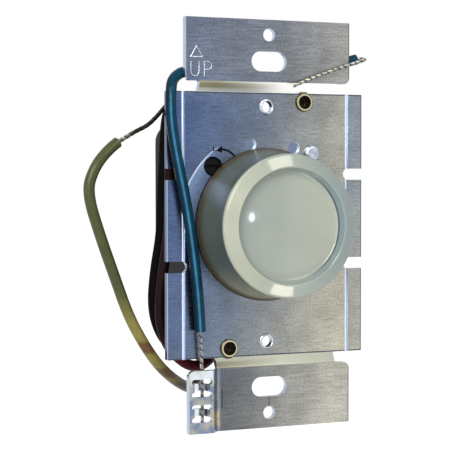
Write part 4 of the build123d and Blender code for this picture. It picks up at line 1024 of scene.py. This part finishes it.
def light_surroundings(scene, settings):
    """Surroundings that look white and give a weak bluish light."""
    scene.world = bpy.data.worlds.new("white_surroundings")
    scene.world.use_nodes = True
    tree = scene.world.node_tree
    seen = seen_rays(tree)
    strength = add(tree, "MapRange", {"Value": seen, "To Min": settings.ambient, "To Max": 1.0})
    sky = add(tree, "Mix", {0: seen, 6: srgb("E6F0FF"), 7: (1, 1, 1, 1)}, data_type="RGBA")
    wire(tree.nodes["Background"], Color=sky, Strength=strength)


def hang_lamps(scene, settings):
    """Windows and lamps that show in the knob's gloss, all aimed at the knob."""
    # Name, place and size in metres, power in watts and colour
    lamps = [
        ("soft_key", (-0.5, -0.64, 0.48), (0.6, 0.5), settings.key, "FFF9EC"),
        ("small_front_lamp", (0.233, -0.562, -0.0152), (0.0009, 0.0055), 0.0017, "E6F0FF"),
        ("top_window", (0.166, -0.417, 0.352), (0.17, 0.1), 0.48, "FFF9E8"),
        ("side_strip", (-0.58, -0.155, 0.03), (0.016, 0.16), 0.2, "CFE2FF"),
        ("low_window", (-0.5, -0.64, 0.0), (0.25, 0.3), 0.7, "CFE2FF"),
        ("low_card", (0.0107, -0.0416, -0.0454), (0.017, 0.008), 0.0042, "FFF9E8"),
    ]
    for name, spot, size, power, colour in lamps:
        data = bpy.data.lights.new(name, "AREA")
        data.shape = "RECTANGLE"
        data.size, data.size_y = size
        data.energy = power
        data.color = srgb(colour)[:3]
        lamp = bpy.data.objects.new(name, data)
        aim = Vector(spot).to_track_quat("Z", "Y").to_matrix().to_4x4()
        lamp.matrix_world = Matrix.Translation(spot) @ aim
        lamp.visible_camera = False
        scene.collection.objects.link(lamp)
    # The card lies just below the picture and lights the knob alone, as the sheet would mirror it
    card_light = bpy.data.collections.new("card_light")
    card_light.objects.link(NODES["knob"])
    bpy.data.objects["low_card"].light_linking.receiver_collection = card_light


def set_camera(scene):
    """Camera in front of the object, a little to its left."""
    turn, rise, roll = (math.radians(a) for a in (CAMERA_TURN, CAMERA_RISE, CAMERA_ROLL))
    away = Vector((math.sin(turn) * math.cos(rise), -math.cos(turn) * math.cos(rise), math.sin(rise)))
    right = (-away).cross(Vector((0, 0, 1))).normalized()
    up = right.cross(-away)
    across = math.cos(roll) * right + math.sin(roll) * up
    upward = math.cos(roll) * up - math.sin(roll) * right
    data = bpy.data.cameras.new("camera")
    data.sensor_width = SENSOR_MM
    data.lens = SENSOR_MM * FOCAL_PIXELS / PICTURE_PIXELS
    data.clip_start = 0.01
    camera = bpy.data.objects.new("camera", data)
    spot = (Vector(CAMERA_AIM) + away * CAMERA_AWAY) * MM
    camera.matrix_world = Matrix((
        (across.x, upward.x, away.x, spot.x), (across.y, upward.y, away.y, spot.y),
        (across.z, upward.z, away.z, spot.z), (0, 0, 0, 1)))
    scene.collection.objects.link(camera)
    scene.camera = camera


class FANSWITCH_OT_stage(bpy.types.Operator):
    """Floor, lamps, white surroundings and the camera"""

    bl_idname = "fan_switch.stage"
    bl_label = "Stage"

    def execute(self, context):
        scene = context.scene
        scene.view_settings.view_transform = "Standard"
        lay_floor(scene.fan_stage)
        light_surroundings(scene, scene.fan_stage)
        hang_lamps(scene, scene.fan_stage)
        set_camera(scene)
        return {"FINISHED"}


class FANSWITCH_PT_panel(bpy.types.Panel):
    """Buttons for the pieces, the finishes and the stage"""

    bl_label = "Fan switch"
    bl_idname = "FANSWITCH_PT_panel"
    bl_space_type = "VIEW_3D"
    bl_region_type = "UI"
    bl_category = "Fan switch"

    def draw(self, context):
        for operator in OPERATORS:
            self.layout.operator(operator.bl_idname)


GROUPS = {
    "fan_sheet": SheetFinish, "fan_knob": KnobFinish, "fan_leads": LeadFinish, "fan_marks": MarkSizes,
    "fan_stage": StageSettings,
}
OPERATORS = [
    FANSWITCH_OT_leads, FANSWITCH_OT_orientation_mark, FANSWITCH_OT_adjust_mark, FANSWITCH_OT_screw_lips,
    FANSWITCH_OT_housing_details, FANSWITCH_OT_finishes, FANSWITCH_OT_stage,
]
MATERIALS = {}


def register():
    for group in GROUPS.values():
        bpy.utils.register_class(group)
    for name, group in GROUPS.items():
        setattr(bpy.types.Scene, name, bpy.props.PointerProperty(type=group))
    for operator in OPERATORS:
        bpy.utils.register_class(operator)
    bpy.utils.register_class(FANSWITCH_PT_panel)


def unregister():
    bpy.utils.unregister_class(FANSWITCH_PT_panel)
    for operator in reversed(OPERATORS):
        bpy.utils.unregister_class(operator)
    for name in GROUPS:
        delattr(bpy.types.Scene, name)
    for group in GROUPS.values():
        bpy.utils.unregister_class(group)


def main():
    register()
    MATERIALS.update(make_materials())
    bpy.ops.fan_switch.leads()
    bpy.ops.fan_switch.orientation_mark()
    bpy.ops.fan_switch.adjust_mark()
    bpy.ops.fan_switch.screw_lips()
    bpy.ops.fan_switch.housing_details()
    bpy.ops.fan_switch.finishes()
    bpy.ops.fan_switch.stage()


if __name__ == "__main__":
    main()
